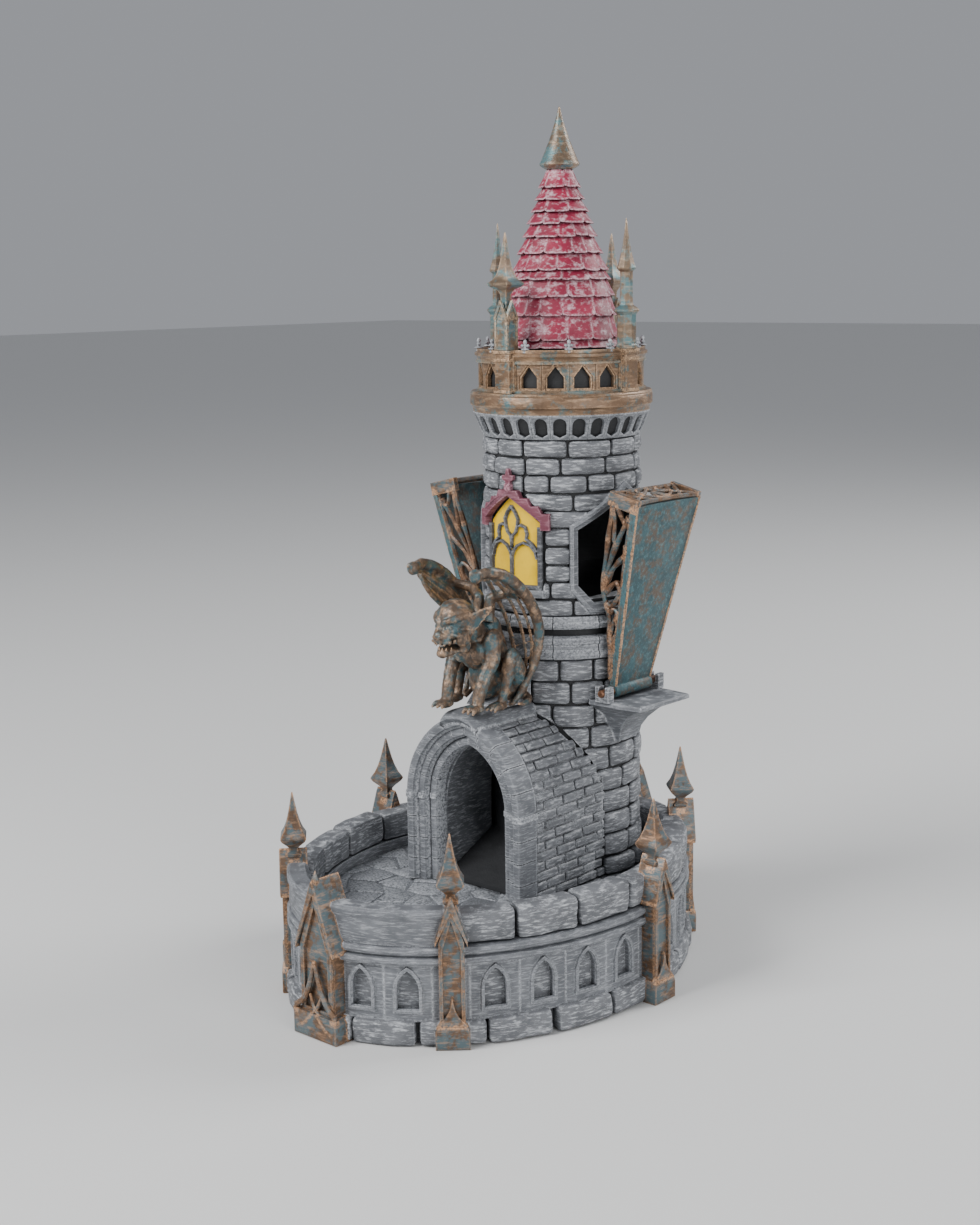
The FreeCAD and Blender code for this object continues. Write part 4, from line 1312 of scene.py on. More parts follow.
@dataclass
class LowerShaft:
    """The lower shaft: its masonry, its belt and neck, the ledges and what shows inside."""

    maker: Maker
    course_high: float = 8.6
    foot_high: float = 7.4
    door_top: float = 92.0
    door_wide: float = 17.3
    vault_wide: float = 29.0

    def __post_init__(self) -> None:
        """Reads the shaft's size from the frame."""
        low, high = box_mm("lower_belt")
        self.axis_y = (low.y + high.y) / 2
        self.belt = (low.z, high.z)
        self.radius = box_mm("upper_shell")[1].x
        self.foot = box_mm("lower_tower")[0].z
        self.bore = box_mm("baffle_low")[1].x
        self.vault = box_mm("portico_vault")

    def vault_half(self, level: float) -> float:
        """Half of the vault's width round the shaft at a level."""
        top = self.vault[1].z
        if level > top:
            return 0.0
        half = self.vault_wide
        if level > ARCH_SPRING:
            half *= math.sqrt(max(1 - ((level - ARCH_SPRING) / (top - ARCH_SPRING)) ** 2, 0))
        return self.radius * math.asin(min(half / self.radius, 1))

    def door_half(self, level: float) -> float:
        """Half of the doorway's width round the shaft at a level."""
        return self.radius * math.asin(self.door_wide / self.radius) if level < self.door_top else 0.0

    def build(self) -> None:
        """Makes the shaft's pieces and dresses the CAD nodes that stay."""
        shaft = Shaft(self.maker, self.radius, self.axis_y, self.bore, seed=21)
        bed = bmesh.new()
        top = self.belt[0]
        shaft.bed(bed, self.foot, self.door_top, [(0.0, self.door_half)])
        shaft.bed(bed, self.door_top, top)
        # the bed is near-black painted shade, seen in the joints and through the doorway
        self.maker.piece(bed, "shaft_bed", Body.BASE, PAINTED_SHADE, ["lower_tower"])
        stones = bmesh.new()
        gap = [(0.0, self.vault_half)]
        start = self.foot + self.foot_high
        shaft.course(stones, self.foot, start, gap, 17, proud=2.2)
        rows = round((top - start) / self.course_high)
        pitch = (top - start) / rows
        for row in range(rows):
            level = start + row * pitch
            shaft.course(stones, level, level + pitch, gap, proud=0.7 if row == 0 else 0.0)
        self.maker.piece(stones, "shaft_stones", Body.BASE, STONE)
        self.belts()
        for side in Side:
            self.ledge(side)
        # the inner parts get near-black painted shade
        self.maker.dress(PAINTED_SHADE, "neck_ring", "exit_ramp", "baffle_low")
        self.maker.dress(STONE, "hinge_lugs_left", "hinge_lugs_right")

    def belts(self) -> None:
        """The belt course: two rolls with a hollow between them, over the bore."""
        low, high = self.belt
        wide, bore = self.radius + 2, self.bore
        profile = [(bore, low), (wide - 1.9, low), (wide - 0.5, low + 0.6), (wide, low + 1.8),
                   (wide - 0.5, low + 3.0),
                   (wide - 1.4, low + 3.6), (wide - 1.4, high - 3.4), (wide - 0.3, high - 2.8),
                   (wide, high - 1.6),
                   (wide - 0.4, high - 0.5), (wide - 1.6, high), (bore, high), (bore, low)]
        bm = bmesh.new()
        jointed_ring(bm, profile, Vector((0, self.axis_y, 0)), 11)
        self.maker.piece(bm, "belt_rolls", Body.BASE, SMOOTH, ["lower_belt"])

    def ledge(self, side: Side) -> None:
        """A stone shelf on a bracket that curves down to the shaft.

        Args:
            side: The side it stands on.
        """
        low, high = box_mm("ledge_" + side.word)
        top, reach = high.z, max(abs(low.x), abs(high.x))
        half = (high.y - low.y) / 2
        sign, inner = side.value, self.radius - 4
        bm = bmesh.new()

        def ring(out: float, across: float, level: float) -> list[Vector]:
            """A rectangle round the bracket at a level."""
            return [Vector((sign * x, self.axis_y + y, level)) for x, y in
                    ((inner, -across), (out * 0.6 + inner * 0.4, -across), (out, -across * 0.93),
                     (out, across * 0.93), (out * 0.6 + inner * 0.4, across), (inner, across))]

        sweep(bm, [ring(reach - 0.5, half - 0.4, top), ring(reach, half, top - 0.5),
                   ring(reach, half, top - 1.7),
                   ring(reach - 1.2, half - 0.8, top - 2.3), ring(reach - 5.5, half * 0.83, top - 3.6),
                   ring(reach - 10.5, half * 0.66, top - 6.2), ring(reach - 14.5, half * 0.52, top - 10),
                   ring(reach - 17, half * 0.42, top - 14), ring(reach - 18.4, half * 0.34, top - 18)])
        self.maker.piece(bm, "shelf_" + side.word, Body.BASE, SMOOTH, ["ledge_" + side.word])


@dataclass
class UpperShaft:
    """The upper shaft that lifts off: masonry, side openings and the front window with its hood."""

    maker: Maker
    course_high: float = 6.9
    window_half: float = 12.5
    frame_half: float = 24.4

    def __post_init__(self) -> None:
        """Reads the shaft's size from the frame."""
        low, high = box_mm("upper_shell")
        self.axis_y = (low.y + high.y) / 2
        self.radius = high.x
        self.low, self.high = low.z, high.z
        self.bore = box_mm("baffle_high")[1].x
        self.frames = box_mm("opening_frames")
        self.hood = box_mm("window_hood")
        self.sill = box_mm("window_sill")
        self.belt_top = box_mm("upper_belt")[1].z
        self.track = round_track(self.radius, self.axis_y)
        apex, foot = self.frames[1].z, self.frames[0].z
        self.outer = [(16.8, foot), (self.frame_half, foot + 9.0), (self.frame_half, apex - 14.5),
                      (0.0, apex + 1.5)]
        self.inner = [(14.8, foot + 4.0), (21.2, foot + 11.0), (21.2, apex - 16.2), (0.0, apex - 4.2)]

    @staticmethod
    def half_at(outline: Outline, level: float) -> float:
        """Half width of a side opening at a level, from its corners.

        Args:
            outline: The corners of its right half, from the foot up.
            level: The level.

        Returns:
            The half width, or 0 outside the opening.
        """
        for (half, low), (next_half, high) in zip(outline, outline[1:]):
            if low <= level <= high:
                return half + (next_half - half) * (level - low) / (high - low)
        return 0.0

    def window_gap(self, level: float) -> float:
        """Half of the space that the window and its hood take at a level."""
        if not self.sill[0].z - 0.5 < level < self.hood[0].z + 13:
            return 0.0
        if level < self.hood[0].z:
            return 14.2
        return max(17.5 - (level - self.hood[0].z) * 1.15, 0)

    def build(self) -> None:
        """Makes the shaft's pieces and dresses the CAD nodes that stay."""
        quarter = self.track.length / 4
        frames = [(quarter, lambda level: self.half_at(self.outer, level) - 0.8),
                  (3 * quarter, lambda level: self.half_at(self.outer, level) - 0.8)]
        holes = [(quarter, lambda level: self.half_at(self.inner, level) + 1.2),
                 (3 * quarter, lambda level: self.half_at(self.inner, level) + 1.2)]
        shaft = Shaft(self.maker, self.radius, self.axis_y, self.bore, seed=5)
        bed = bmesh.new()
        shaft.bed(bed, self.low, self.frames[0].z + 3)
        shaft.bed(bed, self.frames[0].z + 3, self.frames[1].z, holes, rows=26)
        shaft.bed(bed, self.frames[1].z, self.high)
        # the bed is near-black painted shade, seen in the joints and through the side openings
        self.maker.piece(bed, "upper_bed", Body.UPPER, PAINTED_SHADE, ["upper_shell"])
        stones = bmesh.new()
        rows = round((self.high - self.belt_top) / self.course_high)
        pitch = (self.high - self.belt_top) / rows
        for row in range(rows):
            level = self.belt_top + row * pitch
            shaft.course(stones, level, level + pitch, frames + [(0.0, self.window_gap)])
        self.maker.piece(stones, "upper_stones", Body.UPPER, STONE)
        self.belt()
        self.opening_frames()
        self.window()
        self.window_hood()
        # the baffles inside get near-black painted shade
        self.maker.dress(PAINTED_SHADE, "baffle_middle", "baffle_high")

    def belt(self) -> None:
        """The thin belt at the foot, in two steps."""
        low, high, wide = self.low, self.belt_top, self.radius + 2
        profile = [(self.radius - 2, low), (wide - 0.7, low), (wide, low + 0.7), (wide, low + 1.9),
                   (wide - 0.7, low + 2.4), (wide - 0.9, high - 0.8), (wide - 1.8, high),
                   (self.radius - 2, high), (self.radius - 2, low)]
        bm = bmesh.new()
        jointed_ring(bm, profile, Vector((0, self.axis_y, 0)), 11)
        self.maker.piece(bm, "upper_roll", Body.UPPER, SMOOTH, ["upper_belt"])

    def opening_frames(self) -> None:
        """A bevelled six-sided frame round each side opening, with its reveal."""
        bm = bmesh.new()
        quarter = self.track.length / 4

        def path(corners: Outline) -> list[tuple[float, float]]:
            """The outline's points, close enough to bend round the shaft."""
            loop = list(corners) + [(-across, up) for across, up in reversed(corners[:-1])]
            points = []
            for (across, up), (next_across, next_up) in zip(loop, loop[1:] + loop[:1]):
                for step in range(6):
                    share = step / 6
                    points.append((across + (next_across - across) * share, up + (next_up - up) * share))
            return points

        outer, inner = path(self.outer), path(self.inner)
        for centre in (quarter, 3 * quarter):
            rings = []
            for (far, far_up), (near, near_up) in zip(outer, inner):
                def spot(share: float, out: float) -> Vector:
                    """A point part of the way from the outer to the inner edge."""
                    return self.track.spot(centre + far + (near - far) * share).at(
                        out, far_up + (near_up - far_up) * share)
                rings.append([spot(0.0, -1.6), spot(0.0, 0.9), spot(0.14, 1.6), spot(0.42, 1.7),
                              spot(0.52, 1.1),
                              spot(0.78, 0.5), spot(1.0, 0.2), spot(1.0, self.bore - self.radius + 0.3),
                              spot(0.7, self.bore - self.radius + 0.3)])
            sweep(bm, rings, closed=True)
        self.maker.piece(bm, "side_frames", Body.UPPER, SMOOTH, ["opening_frames"])

    def wrapped(self, verts: Sequence[Vert]) -> None:
        """Wraps a flat piece drawn facing -Y onto the shaft's front."""
        bend(verts, self.track, 0.0)

    def bar(self, bm: Mesh, points: Outline, wide: float, out: float) -> None:
        """A tracery bar through points of the window's face.

        Args:
            bm: The mesh to add to.
            points: Its centre line, across and up.
            wide: Its width.
            out: How far its face stands from the shaft's surface.
        """
        rings = []
        for index, (across, up) in enumerate(points):
            ahead = Vector(points[min(index + 1, len(points) - 1)]) - Vector(points[max(index - 1, 0)])
            side = Vector((-ahead.y, ahead.x)).normalized() * wide / 2
            ring = []
            for share, lift in ((-1, -2.0), (-1, -0.5), (-0.55, 0.0), (0.55, 0.0), (1, -0.5), (1, -2.0)):
                ring.append(self.track.spot(across + side.x * share).at(out + lift, up + side.y * share))
            rings.append(ring)
        sweep(bm, rings)

    def window(self) -> None:
        """The yellow pane behind grey twin lights, an ogee and a trefoil."""
        foot, half, spring = self.sill[1].z, self.window_half, 168.0
        outline = [(half + 0.6, foot - 0.5), (half + 0.6, spring + 7.5), (0, spring + 18.2)]
        bm = bmesh.new()
        rows = 12
        for row in range(rows):
            across = [(-half - 0.6) + (2 * half + 1.2) * step / rows for step in (row, row + 1)]
            tops = [self.pane_top(outline, abs(value)) for value in across]
            verts = slab(bm, [(across[0], foot - 0.5), (across[1], foot - 0.5), (across[1], tops[1]),
                              (across[0], tops[0])], 0.7, 2.8)
            self.wrapped(verts)
        bmesh.ops.remove_doubles(bm, verts=bm.verts[:], dist=1e-3)
        inside = [face for face in bm.faces
                  if len([edge for edge in face.edges if len(edge.link_faces) > 2]) >= 4]
        bmesh.ops.delete(bm, geom=inside, context="FACES")
        self.maker.piece(bm, "yellow_pane", Body.UPPER, YELLOW, ["window_pane"])
        bars = bmesh.new()
        for sign in (-1, 1):
            self.bar(bars, [(sign * (half + 0.2), foot - 0.5 + 2.5 * step) for step in range(11)], 2.0, 1.0)
        self.bar(bars, [(-half, foot + 0.8), (-half / 2, foot + 0.8), (0, foot + 0.8),
                        (half / 2, foot + 0.8), (half, foot + 0.8)], 1.8, 0.9)
        self.bar(bars, [(0, foot), (0, foot + 8), (0, foot + 14)], 1.3, 0.7)
        for sign in (-1, 1):
            light = [(0.0, foot + 12.5), (sign * 0.8, foot + 14.6), (sign * 2.6, foot + 16.8),
                     (sign * 5.6, foot + 18.2),
                     (sign * 8.6, foot + 17.2), (sign * 10.6, foot + 14.8), (sign * 11.4, foot + 12.0)]
            self.bar(bars, light, 1.15, 0.6)
            ogee = [(sign * 11.6, foot + 15.0), (sign * 9.4, foot + 17.8), (sign * 6.9, foot + 19.6),
                    (sign * 7.3, foot + 21.6), (sign * 6.6, foot + 24.2), (sign * 4.6, foot + 25.0),
                    (sign * 2.9, foot + 24.4), (sign * 3.3, foot + 27.2), (sign * 2.0, foot + 29.8),
                    (0.0, foot + 32.2)]
            self.bar(bars, ogee, 1.3, 0.65)
            self.bar(bars, [(sign * 2.9, foot + 24.4), (sign * 2.0, foot + 22.0), (sign * 0.4, foot + 20.6),
                            (0.0, foot + 18.4), (0.0, foot + 15.6)], 1.15, 0.6)
        self.maker.piece(bars, "window_bars", Body.UPPER, GREY, ["window_tracery"])
        sill = bmesh.new()
        verts = slab(sill, panel_outline(2 * half + 4, self.sill[0].z, self.sill[1].z), -2.0, 1.5,
                     bevel=0.6)
        self.wrapped(verts)
        self.maker.piece(sill, "sill_stone", Body.UPPER, SMOOTH, ["window_sill"])

    @staticmethod
    def pane_top(outline: Outline, across: float) -> float:
        """Height of the pane's edge at a distance from its middle."""
        right = [point for point in outline[1:] if point[0] >= 0]
        for (near, up), (far, next_up) in zip(right, right[1:]):
            if far <= across <= near:
                return up + (next_up - up) * (near - across) / max(near - far, 1e-6)
        return right[0][1]

    def window_hood(self) -> None:
        """The pink crow-stepped hood with its cross-shaped fin."""
        low, high = self.hood
        steps, wide, rise = 4, 17.0, 11.5
        right = [(wide - 2.0, low.z - 3.5), (wide, low.z - 3.5)]
        for step in range(steps):
            level = low.z + rise * (step + 1) / steps
            right += [(wide * (1 - step / steps), level), (wide * (1 - (step + 1) / steps) + 1.4, level)]
        right += [(1.3, low.z + rise + 2.4)]
        outline = right + [(-across, up) for across, up in reversed(right)]
        inner = [(-13.4, low.z - 3.5), (-13.4, low.z - 0.2), (-9.0, low.z + 3.2), (-4.4, low.z + 6.6),
                 (0, low.z + 9.4),
                 (4.4, low.z + 6.6), (9.0, low.z + 3.2), (13.4, low.z - 0.2), (13.4, low.z - 3.5)]
        bm = bmesh.new()
        self.wrapped(slab(bm, outline + inner, -2.6, 0.4, bevel=0.3))
        self.wrapped(slab(bm, [(-1.1, low.z + rise), (1.1, low.z + rise), (1.1, high.z - 5.2),
                               (2.6, high.z - 4.4),
                               (2.6, high.z - 2.8), (1.0, high.z - 2.6), (0.5, high.z - 0.2),
                               (-0.5, high.z - 0.2),
                               (-1.0, high.z - 2.6), (-2.6, high.z - 2.8), (-2.6, high.z - 4.4),
                               (-1.1, high.z - 5.2)],
                          -2.2, -0.4, bevel=0.25))
        self.maker.piece(bm, "stepped_hood", Body.UPPER, PINK, ["window_hood"])


# ---------------------------------------------------------------- hatches

@dataclass
class Hatch:
    """One leaning hatch: a solid outer wall, openwork sides and an openwork top."""

    maker: Maker
    side: Side
    thick: float = 2.5
    foot_half: float = 11.3
    top_half: float = 20.5
    depth: float = 12.7
    lean_degrees: float = 13.5

    def __post_init__(self) -> None:
        """Works out the hatch's place from its pin and its wall."""
        low, high = box_mm("hinge_pin_" + self.side.word)
        self.pin = (low + high) / 2
        self.pin_radius = (high.z - low.z) / 2
        wall = box_mm("hatch_wall_" + self.side.word)[1]
        self.lean = math.radians(self.lean_degrees)
        self.rise = (wall.z - self.pin.z + math.sin(self.lean)) / math.cos(self.lean) - 0.6
        self.body = Body.HATCH_RIGHT if self.side is Side.RIGHT else Body.HATCH_LEFT

    def set(self, point: Vector) -> Vector:
        """Moves a point drawn upright for the right-hand hatch to its leaning place on this side."""
        turned = Matrix.Rotation(self.lean, 3, "Y") @ point
        return Vector((turned.x * self.side.value, turned.y, turned.z)) + self.pin

    def half(self, level: float) -> float:
        """Half width at a height above the pin."""
        return self.foot_half + (self.top_half - self.foot_half) * level / self.rise

    def add(self, bm: Mesh, name: str, paint: Paint, replaces: Sequence[str] = ()) -> None:
        """Leans a finished mesh over and makes it a piece."""
        for vert in bm.verts:
            vert.co = self.set(vert.co)
        self.maker.piece(bm, f"{name}_{self.side.word}", self.body, paint,
                         [f"{node}_{self.side.word}" for node in replaces])

    def build(self) -> None:
        """Makes the hatch and its pin."""
        self.wall()
        self.sides()
        self.top()
        bm = bmesh.new()
        radius, half = self.pin_radius, 19.0
        verts = lathe(bm, [(0, -half), (radius - 0.3, -half), (radius, -half + 0.4), (radius, half - 0.4),
                           (radius - 0.3, half), (0, half)], Vector((0, 0, 0)), steps=24)
        move(verts, Matrix.Translation(self.pin) @ Matrix.Rotation(math.pi / 2, 4, "X"))
        self.maker.piece(bm, "pin_" + self.side.word, Body.BASE, PIN, ["hinge_pin_" + self.side.word])

    def wall(self) -> None:
        """The solid wall with a barrel round the pin and copper rims."""
        bm = bmesh.new()
        rows = 24
        foot = 2.2
        levels = [foot + (self.rise - foot) * step / rows for step in range(rows + 1)]
        outline = [(self.half(level) + 0.28 * noise.noise(Vector((step * 0.9, 3, 1))), level)
                   for step, level in enumerate(levels)]
        left = [(-across + 0.3 * noise.noise(Vector((up * 0.3, 9, 4))), up) for across,
                up in reversed(outline)]
        verts = slab(bm, outline + left, -0.95, self.thick - 1.0, bevel=0.5)
        for vert in verts:
            vert.co = Vector((-vert.co.y, vert.co.x, vert.co.z))
        barrel = lathe(bm, [(self.pin_radius + 0.05, -self.foot_half), (2.5, -self.foot_half),
                            (2.8, -self.foot_half + 0.4), (2.8, self.foot_half - 0.4),
                            (2.5, self.foot_half), (self.pin_radius + 0.05, self.foot_half),
                            (self.pin_radius + 0.05, -self.foot_half)],
                       Vector((0, 0, 0)), steps=32)
        move(barrel, Matrix.Rotation(math.pi / 2, 4, "X"))
        self.add(bm, "hatch_sheet", TEAL, ["hatch_wall"])
        rims = bmesh.new()
        for sign in (-1, 1):
            points = [Vector((0.75 + 0.15 * noise.noise(Vector((up, sign, 0))),
                              sign * (self.half(up) - 0.75), up))
                      for up in (2.4 + (self.rise - 2.4) * step / 16 for step in range(17))]
            rod(rims, points, [0.62 + 0.14 * noise.noise(point / 3) for point in points], sides=8)
        self.add(rims, "hatch_rims", COPPER)

    def strand(self, bm: Mesh, points: Outline, thick: float) -> None:
        """A bar of the side openwork, on both sides, smoothed through its points.

        Args:
            bm: The mesh to add to.
            points: Its centre line, inwards and up.
            thick: Its radius.
        """
        smooth = curve(points, 4)
        for sign in (-1, 1):
            line = [Vector((inward, sign * (self.half(up) - 1.0), up)) for inward, up in smooth]
            rod(bm, line, [thick * (1.12 + 0.2 * math.sin(step * 0.9)) for step in range(len(line))],
                sides=8)

    def sides(self) -> None:
        """The openwork sides: a rim, flowing bars and leaf-shaped loops."""
        bm = bmesh.new()
        strands = (
            (1.0, [(-2.2, 4.2), (-3.5, 12), (-4.9, 20), (-6.2, 28), (-7.8, 32.6), (-10.0, 36.6),
                   (-11.2, 44), (-11.2, 56), (-11.0, 66), (-10.9, 75.4)]),
            (0.9, [(-1.4, 4.2), (-1.9, 24), (-1.9, 50), (-1.9, 75.4)]),
            (1.0, [(-10.2, 39), (-9.8, 47), (-8.0, 56), (-5.4, 64), (-2.6, 71.5)]),
            (0.9, [(-10.8, 74), (-9.2, 68), (-8.5, 62), (-7.2, 58.5)]),
            (0.9, [(-8.8, 74.8), (-6.4, 70.5), (-4.4, 68.5)]),
            (0.95, [(-9.6, 42), (-7.8, 48), (-5.0, 52.5), (-2.8, 56), (-2.4, 60)]),
            (0.95, [(-9.0, 38.5), (-6.8, 42.5), (-4.4, 44), (-3.0, 41), (-4.0, 36.5), (-6.2, 34.0),
                    (-7.8, 34.6)]),
            (0.9, [(-6.2, 31), (-4.6, 33.0), (-2.7, 32.0), (-2.4, 27)]),
            (0.85, [(-5.0, 22), (-4.2, 27.5), (-2.8, 30)]),
        )
        for thick, points in strands:
            self.strand(bm, points, thick)
        for sign in (-1, 1):
            for inward, up, size in ((-11.0, 45.5, 1.2), (-11.0, 60.0, 1.1), (-4.8, 20.5, 1.2),
                                     (-8.2, 33.2, 1.2)):
                ball(bm, Vector((inward, sign * (self.half(up) - 1.0), up)),
                     Vector((size, size * 0.85, size)))
            plate = [(-1.0, 3.4), (-2.4, 3.4), (-3.8, 11.5), (-4.6, 19.0), (-1.6, 27.0), (-1.0, 27.0)]
            leaf = [(-10.4, 75.5), (-10.6, 66.0), (-9.6, 69.0), (-8.8, 75.5)]
            for outline, thick in ((plate, 0.55), (leaf, 0.5)):
                for vert in slab(bm, outline, -thick, thick):
                    vert.co.y += sign * (self.half(vert.co.z) - 1.0)
        self.add(bm, "hatch_openwork", TRACERY, ["hatch_tracery"])

    def top(self) -> None:
        """The openwork top between two thick end bars."""
        bm = bmesh.new()
        level = self.rise + 1.0
        for sign in (-1, 1):
            corners = [(-self.depth, level - 4.3), (0.9, level - 4.3), (0.9, level + 1.1),
                       (-self.depth, level + 1.1)]
            verts = slab(bm, corners, 0.0, 2.3, bevel=0.35)
            for vert in verts:
                vert.co.y = sign * (self.top_half - vert.co.y)
        reach = self.top_half - 2

        def bar(points: Outline, thick: float) -> None:
            """A bar of the top, drawn as inwards and along."""
            line = [Vector((inward, along, level)) for inward, along in curve(points, 4)]
            rod(bm, line, [thick] * len(line), sides=7)

        bar([(0.1, -reach), (-0.4, -reach / 2), (-0.6, 0), (-0.4, reach / 2), (0.1, reach)], 0.95)
        bar([(-11.7, -reach), (-11.7, 0), (-11.7, reach)], 0.9)
        for sign in (-1, 1):
            bar([(-1.2, 0), (-3.0, sign * 5), (-6.2, sign * 9.5), (-10.8, sign * 12.5)], 0.8)
            bar([(-11.0, 0), (-8.4, sign * 3.8), (-6.0, sign * 9), (-3.6, sign * 14), (-1.0, sign * 17.4)],
                0.8)
            bar([(-1.0, sign * 8.5), (-3.8, sign * 12), (-8.0, sign * 15.5), (-11.4, sign * 18)], 0.8)
            bar([(-11.2, sign * 6), (-8.6, sign * 6.6), (-6.4, sign * 9.2)], 0.7)
            bar([(-1.0, sign * 3.4), (-4.4, sign * 2.2), (-7.6, sign * 0.4)], 0.7)
        self.add(bm, "hatch_crest", COPPER, ["hatch_top"])


# ---------------------------------------------------------------- crown and roof

@dataclass
class Crown:
    """The balcony: little corbel niches, a copper band, a gallery of openings, a rail and pinnacles."""

    maker: Maker
    niches: int = 28
    bays: int = 4
    bay_wide: float = 10.5

    def __post_init__(self) -> None:
        """Reads the crown's size from the frame."""
        self.corbel = box_mm("corbel_arcade")
        self.band = box_mm("balcony_ring")
        self.drum = box_mm("gallery_drum")
        self.deck = box_mm("gallery_deck")
        self.centre = Vector((0, (self.deck[0].y + self.deck[1].y) / 2, 0))
        self.radius = self.drum[1].x
        self.track = round_track(self.radius, self.centre.y)

    def build(self) -> None:
        """Makes every piece of the crown."""
        self.corbels()
        self.bands()
        self.gallery()
        self.rail()
        for name, turn in (("front", 0), ("right", 90), ("back", 180), ("left", 270)):
            self.pier(name, turn)
        for name in ("front", "back"):
            self.gabled_pinnacle(name)
        for name in ("left", "right"):
            self.turret(name)

    def corbels(self) -> None:
        """Small round-headed niches that lean out under the band."""
        low, high = self.corbel[0].z, self.corbel[1].z
        foot, reach = self.radius - 1.6, self.corbel[1].x
        track = round_track(foot, self.centre.y)
        pitch = track.length / self.niches
        bm = bmesh.new()
        head = [(2.45 * math.cos(math.pi * step / 8), low + 5.9 + 2.45 * math.sin(math.pi * step / 8))
                for step in range(9)]
        hole = [(2.45, low + 2.2), *head, (-2.45, low + 2.2), (0, low + 0.9)]
        for step in range(self.niches):
            verts = slab(bm, panel_outline(pitch - 0.02, low, high), -0.1, 1.6, [hole], bevel=0.25)
            for vert in verts:
                vert.co.y -= (reach - foot) * (vert.co.z - low) / (high - low)
            bend(verts, track, step * pitch)
        self.maker.piece(bm, "niche_arcade", Body.UPPER, SMOOTH, ["corbel_arcade"])
        # the backs of the niches are near-black painted shade
        back = bmesh.new()
        lathe(back, [(foot - 4, low), (foot - 1.4, low), (reach - 1.4, high), (foot - 4, high),
                     (foot - 4, low)],
              self.centre)
        self.maker.piece(back, "niche_backs", Body.UPPER, PAINTED_SHADE)

    def bands(self) -> None:
        """The wide copper band that carries the gallery."""
        low, high, wide = self.band[0].z, self.band[1].z, self.band[1].x
        inner = self.radius - 5
        profile = [(inner, low), (wide - 1.2, low), (wide - 1.0, low + 1.4), (wide - 0.5, low + 2.3),
                   (wide, low + 2.7),
                   (wide, high - 1.6), (wide - 0.3, high - 1.2), (wide - 0.1, high - 0.7),
                   (wide - 0.6, high), (inner, high), (inner, low)]
        bm = bmesh.new()
        lathe(bm, profile, self.centre, steps=120)
        self.maker.piece(bm, "balcony_band", Body.UPPER, GILT, ["balcony_ring"])

    def gallery(self) -> None:
        """Pointed openings in bays between the piers, over a wall in near-black painted shade."""
        low, high = self.drum[0].z, self.drum[1].z
        bm = bmesh.new()
        quarter = self.track.length / 4
        hole = [(3.9, low + 1.6), (3.9, low + 6.4), (0, low + 11.3), (-3.9, low + 6.4), (-3.9, low + 1.6)]
        frame_hole = [(across * 0.84, up + (0.5 if up < low + 3 else -0.9 if across == 0 else -0.1))
                      for across, up in hole]
        for side in range(4):
            for bay in range(self.bays):
                reach = side * quarter + quarter / 2 + (bay - (self.bays - 1) / 2) * self.bay_wide
                bend(slab(bm, panel_outline(self.bay_wide, low, high), -0.05, 1.7, [hole], bevel=0.35),
                     self.track, reach)
                verts = slab(bm, hole, 0.5, 2.1, [frame_hole])
                bend(verts, self.track, reach)
            bend(slab(bm, panel_outline(quarter - self.bays * self.bay_wide, low, high), -0.3, 2.1,
                      bevel=0.2),
                 self.track, side * quarter)
        self.maker.piece(bm, "gallery_bays", Body.UPPER, GILT, ["gallery_drum"])
        # the wall behind the openings is near-black painted shade
        back = bmesh.new()
        lathe(back, [(27, low), (self.radius - 2.4, low), (self.radius - 2.4, high), (27, high), (27, low)],
              self.centre)
        self.maker.piece(back, "gallery_backs", Body.UPPER, PAINTED_SHADE)
        foot = bmesh.new()
        wide = self.radius
        for level, proud in ((low, 0.9), (high - 1.3, 0.8)):
            lathe(foot, [(wide - 1, level), (wide + proud, level), (wide + proud, level + 0.8),
                         (wide + 0.3, level + 1.3),
                         (wide - 1, level + 1.3), (wide - 1, level)], self.centre, steps=120)
        self.maker.piece(foot, "gallery_strings", Body.UPPER, VERDIGRIS)

    def rail(self) -> None:
        """The rail and deck with a row of small fleurs."""
        low, high, wide = self.deck[0].z, self.deck[1].z, self.deck[1].x
        mouth = 20.0
        profile = [(mouth, low), (wide - 1.1, low), (wide - 0.7, low + 0.9), (wide, low + 1.5),
                   (wide, low + 2.4), (wide - 0.8, low + 2.9), (wide - 0.9, high), (wide - 2.6, high),
                   (wide - 2.9, high - 1.2), (mouth, high - 1.4), (mouth, low)]
        bm = bmesh.new()
        lathe(bm, profile, self.centre, steps=120)
        self.maker.piece(bm, "gallery_rail", Body.UPPER, GILT, ["gallery_deck"])
        crest = bmesh.new()
        for side in range(4):
            for degrees in (15, 45, 75):
                turn = math.radians(side * 90 + degrees)
                foot = self.centre + Vector((math.sin(turn), -math.cos(turn), 0)) * (wide - 1.7) + UP * high
                along = Vector((math.cos(turn), math.sin(turn), 0))
                rod(crest, [foot - UP, foot + UP * 1.4, foot + UP * 2.9, foot + UP * 3.7],
                    [1.1, 0.55, 0.6, 0.15])
                ball(crest, foot + UP * 3.0, Vector((0.75, 0.75, 1.0)))
                for sign in (-1, 1):
                    ball(crest, foot + along * sign * 1.05 + UP * 1.7, Vector((0.75, 0.75, 0.6)))
                ball(crest, foot + UP * 0.3, Vector((1.7, 1.7, 0.5)))
        self.maker.piece(crest, "rail_fleurs", Body.UPPER, SMOOTH)

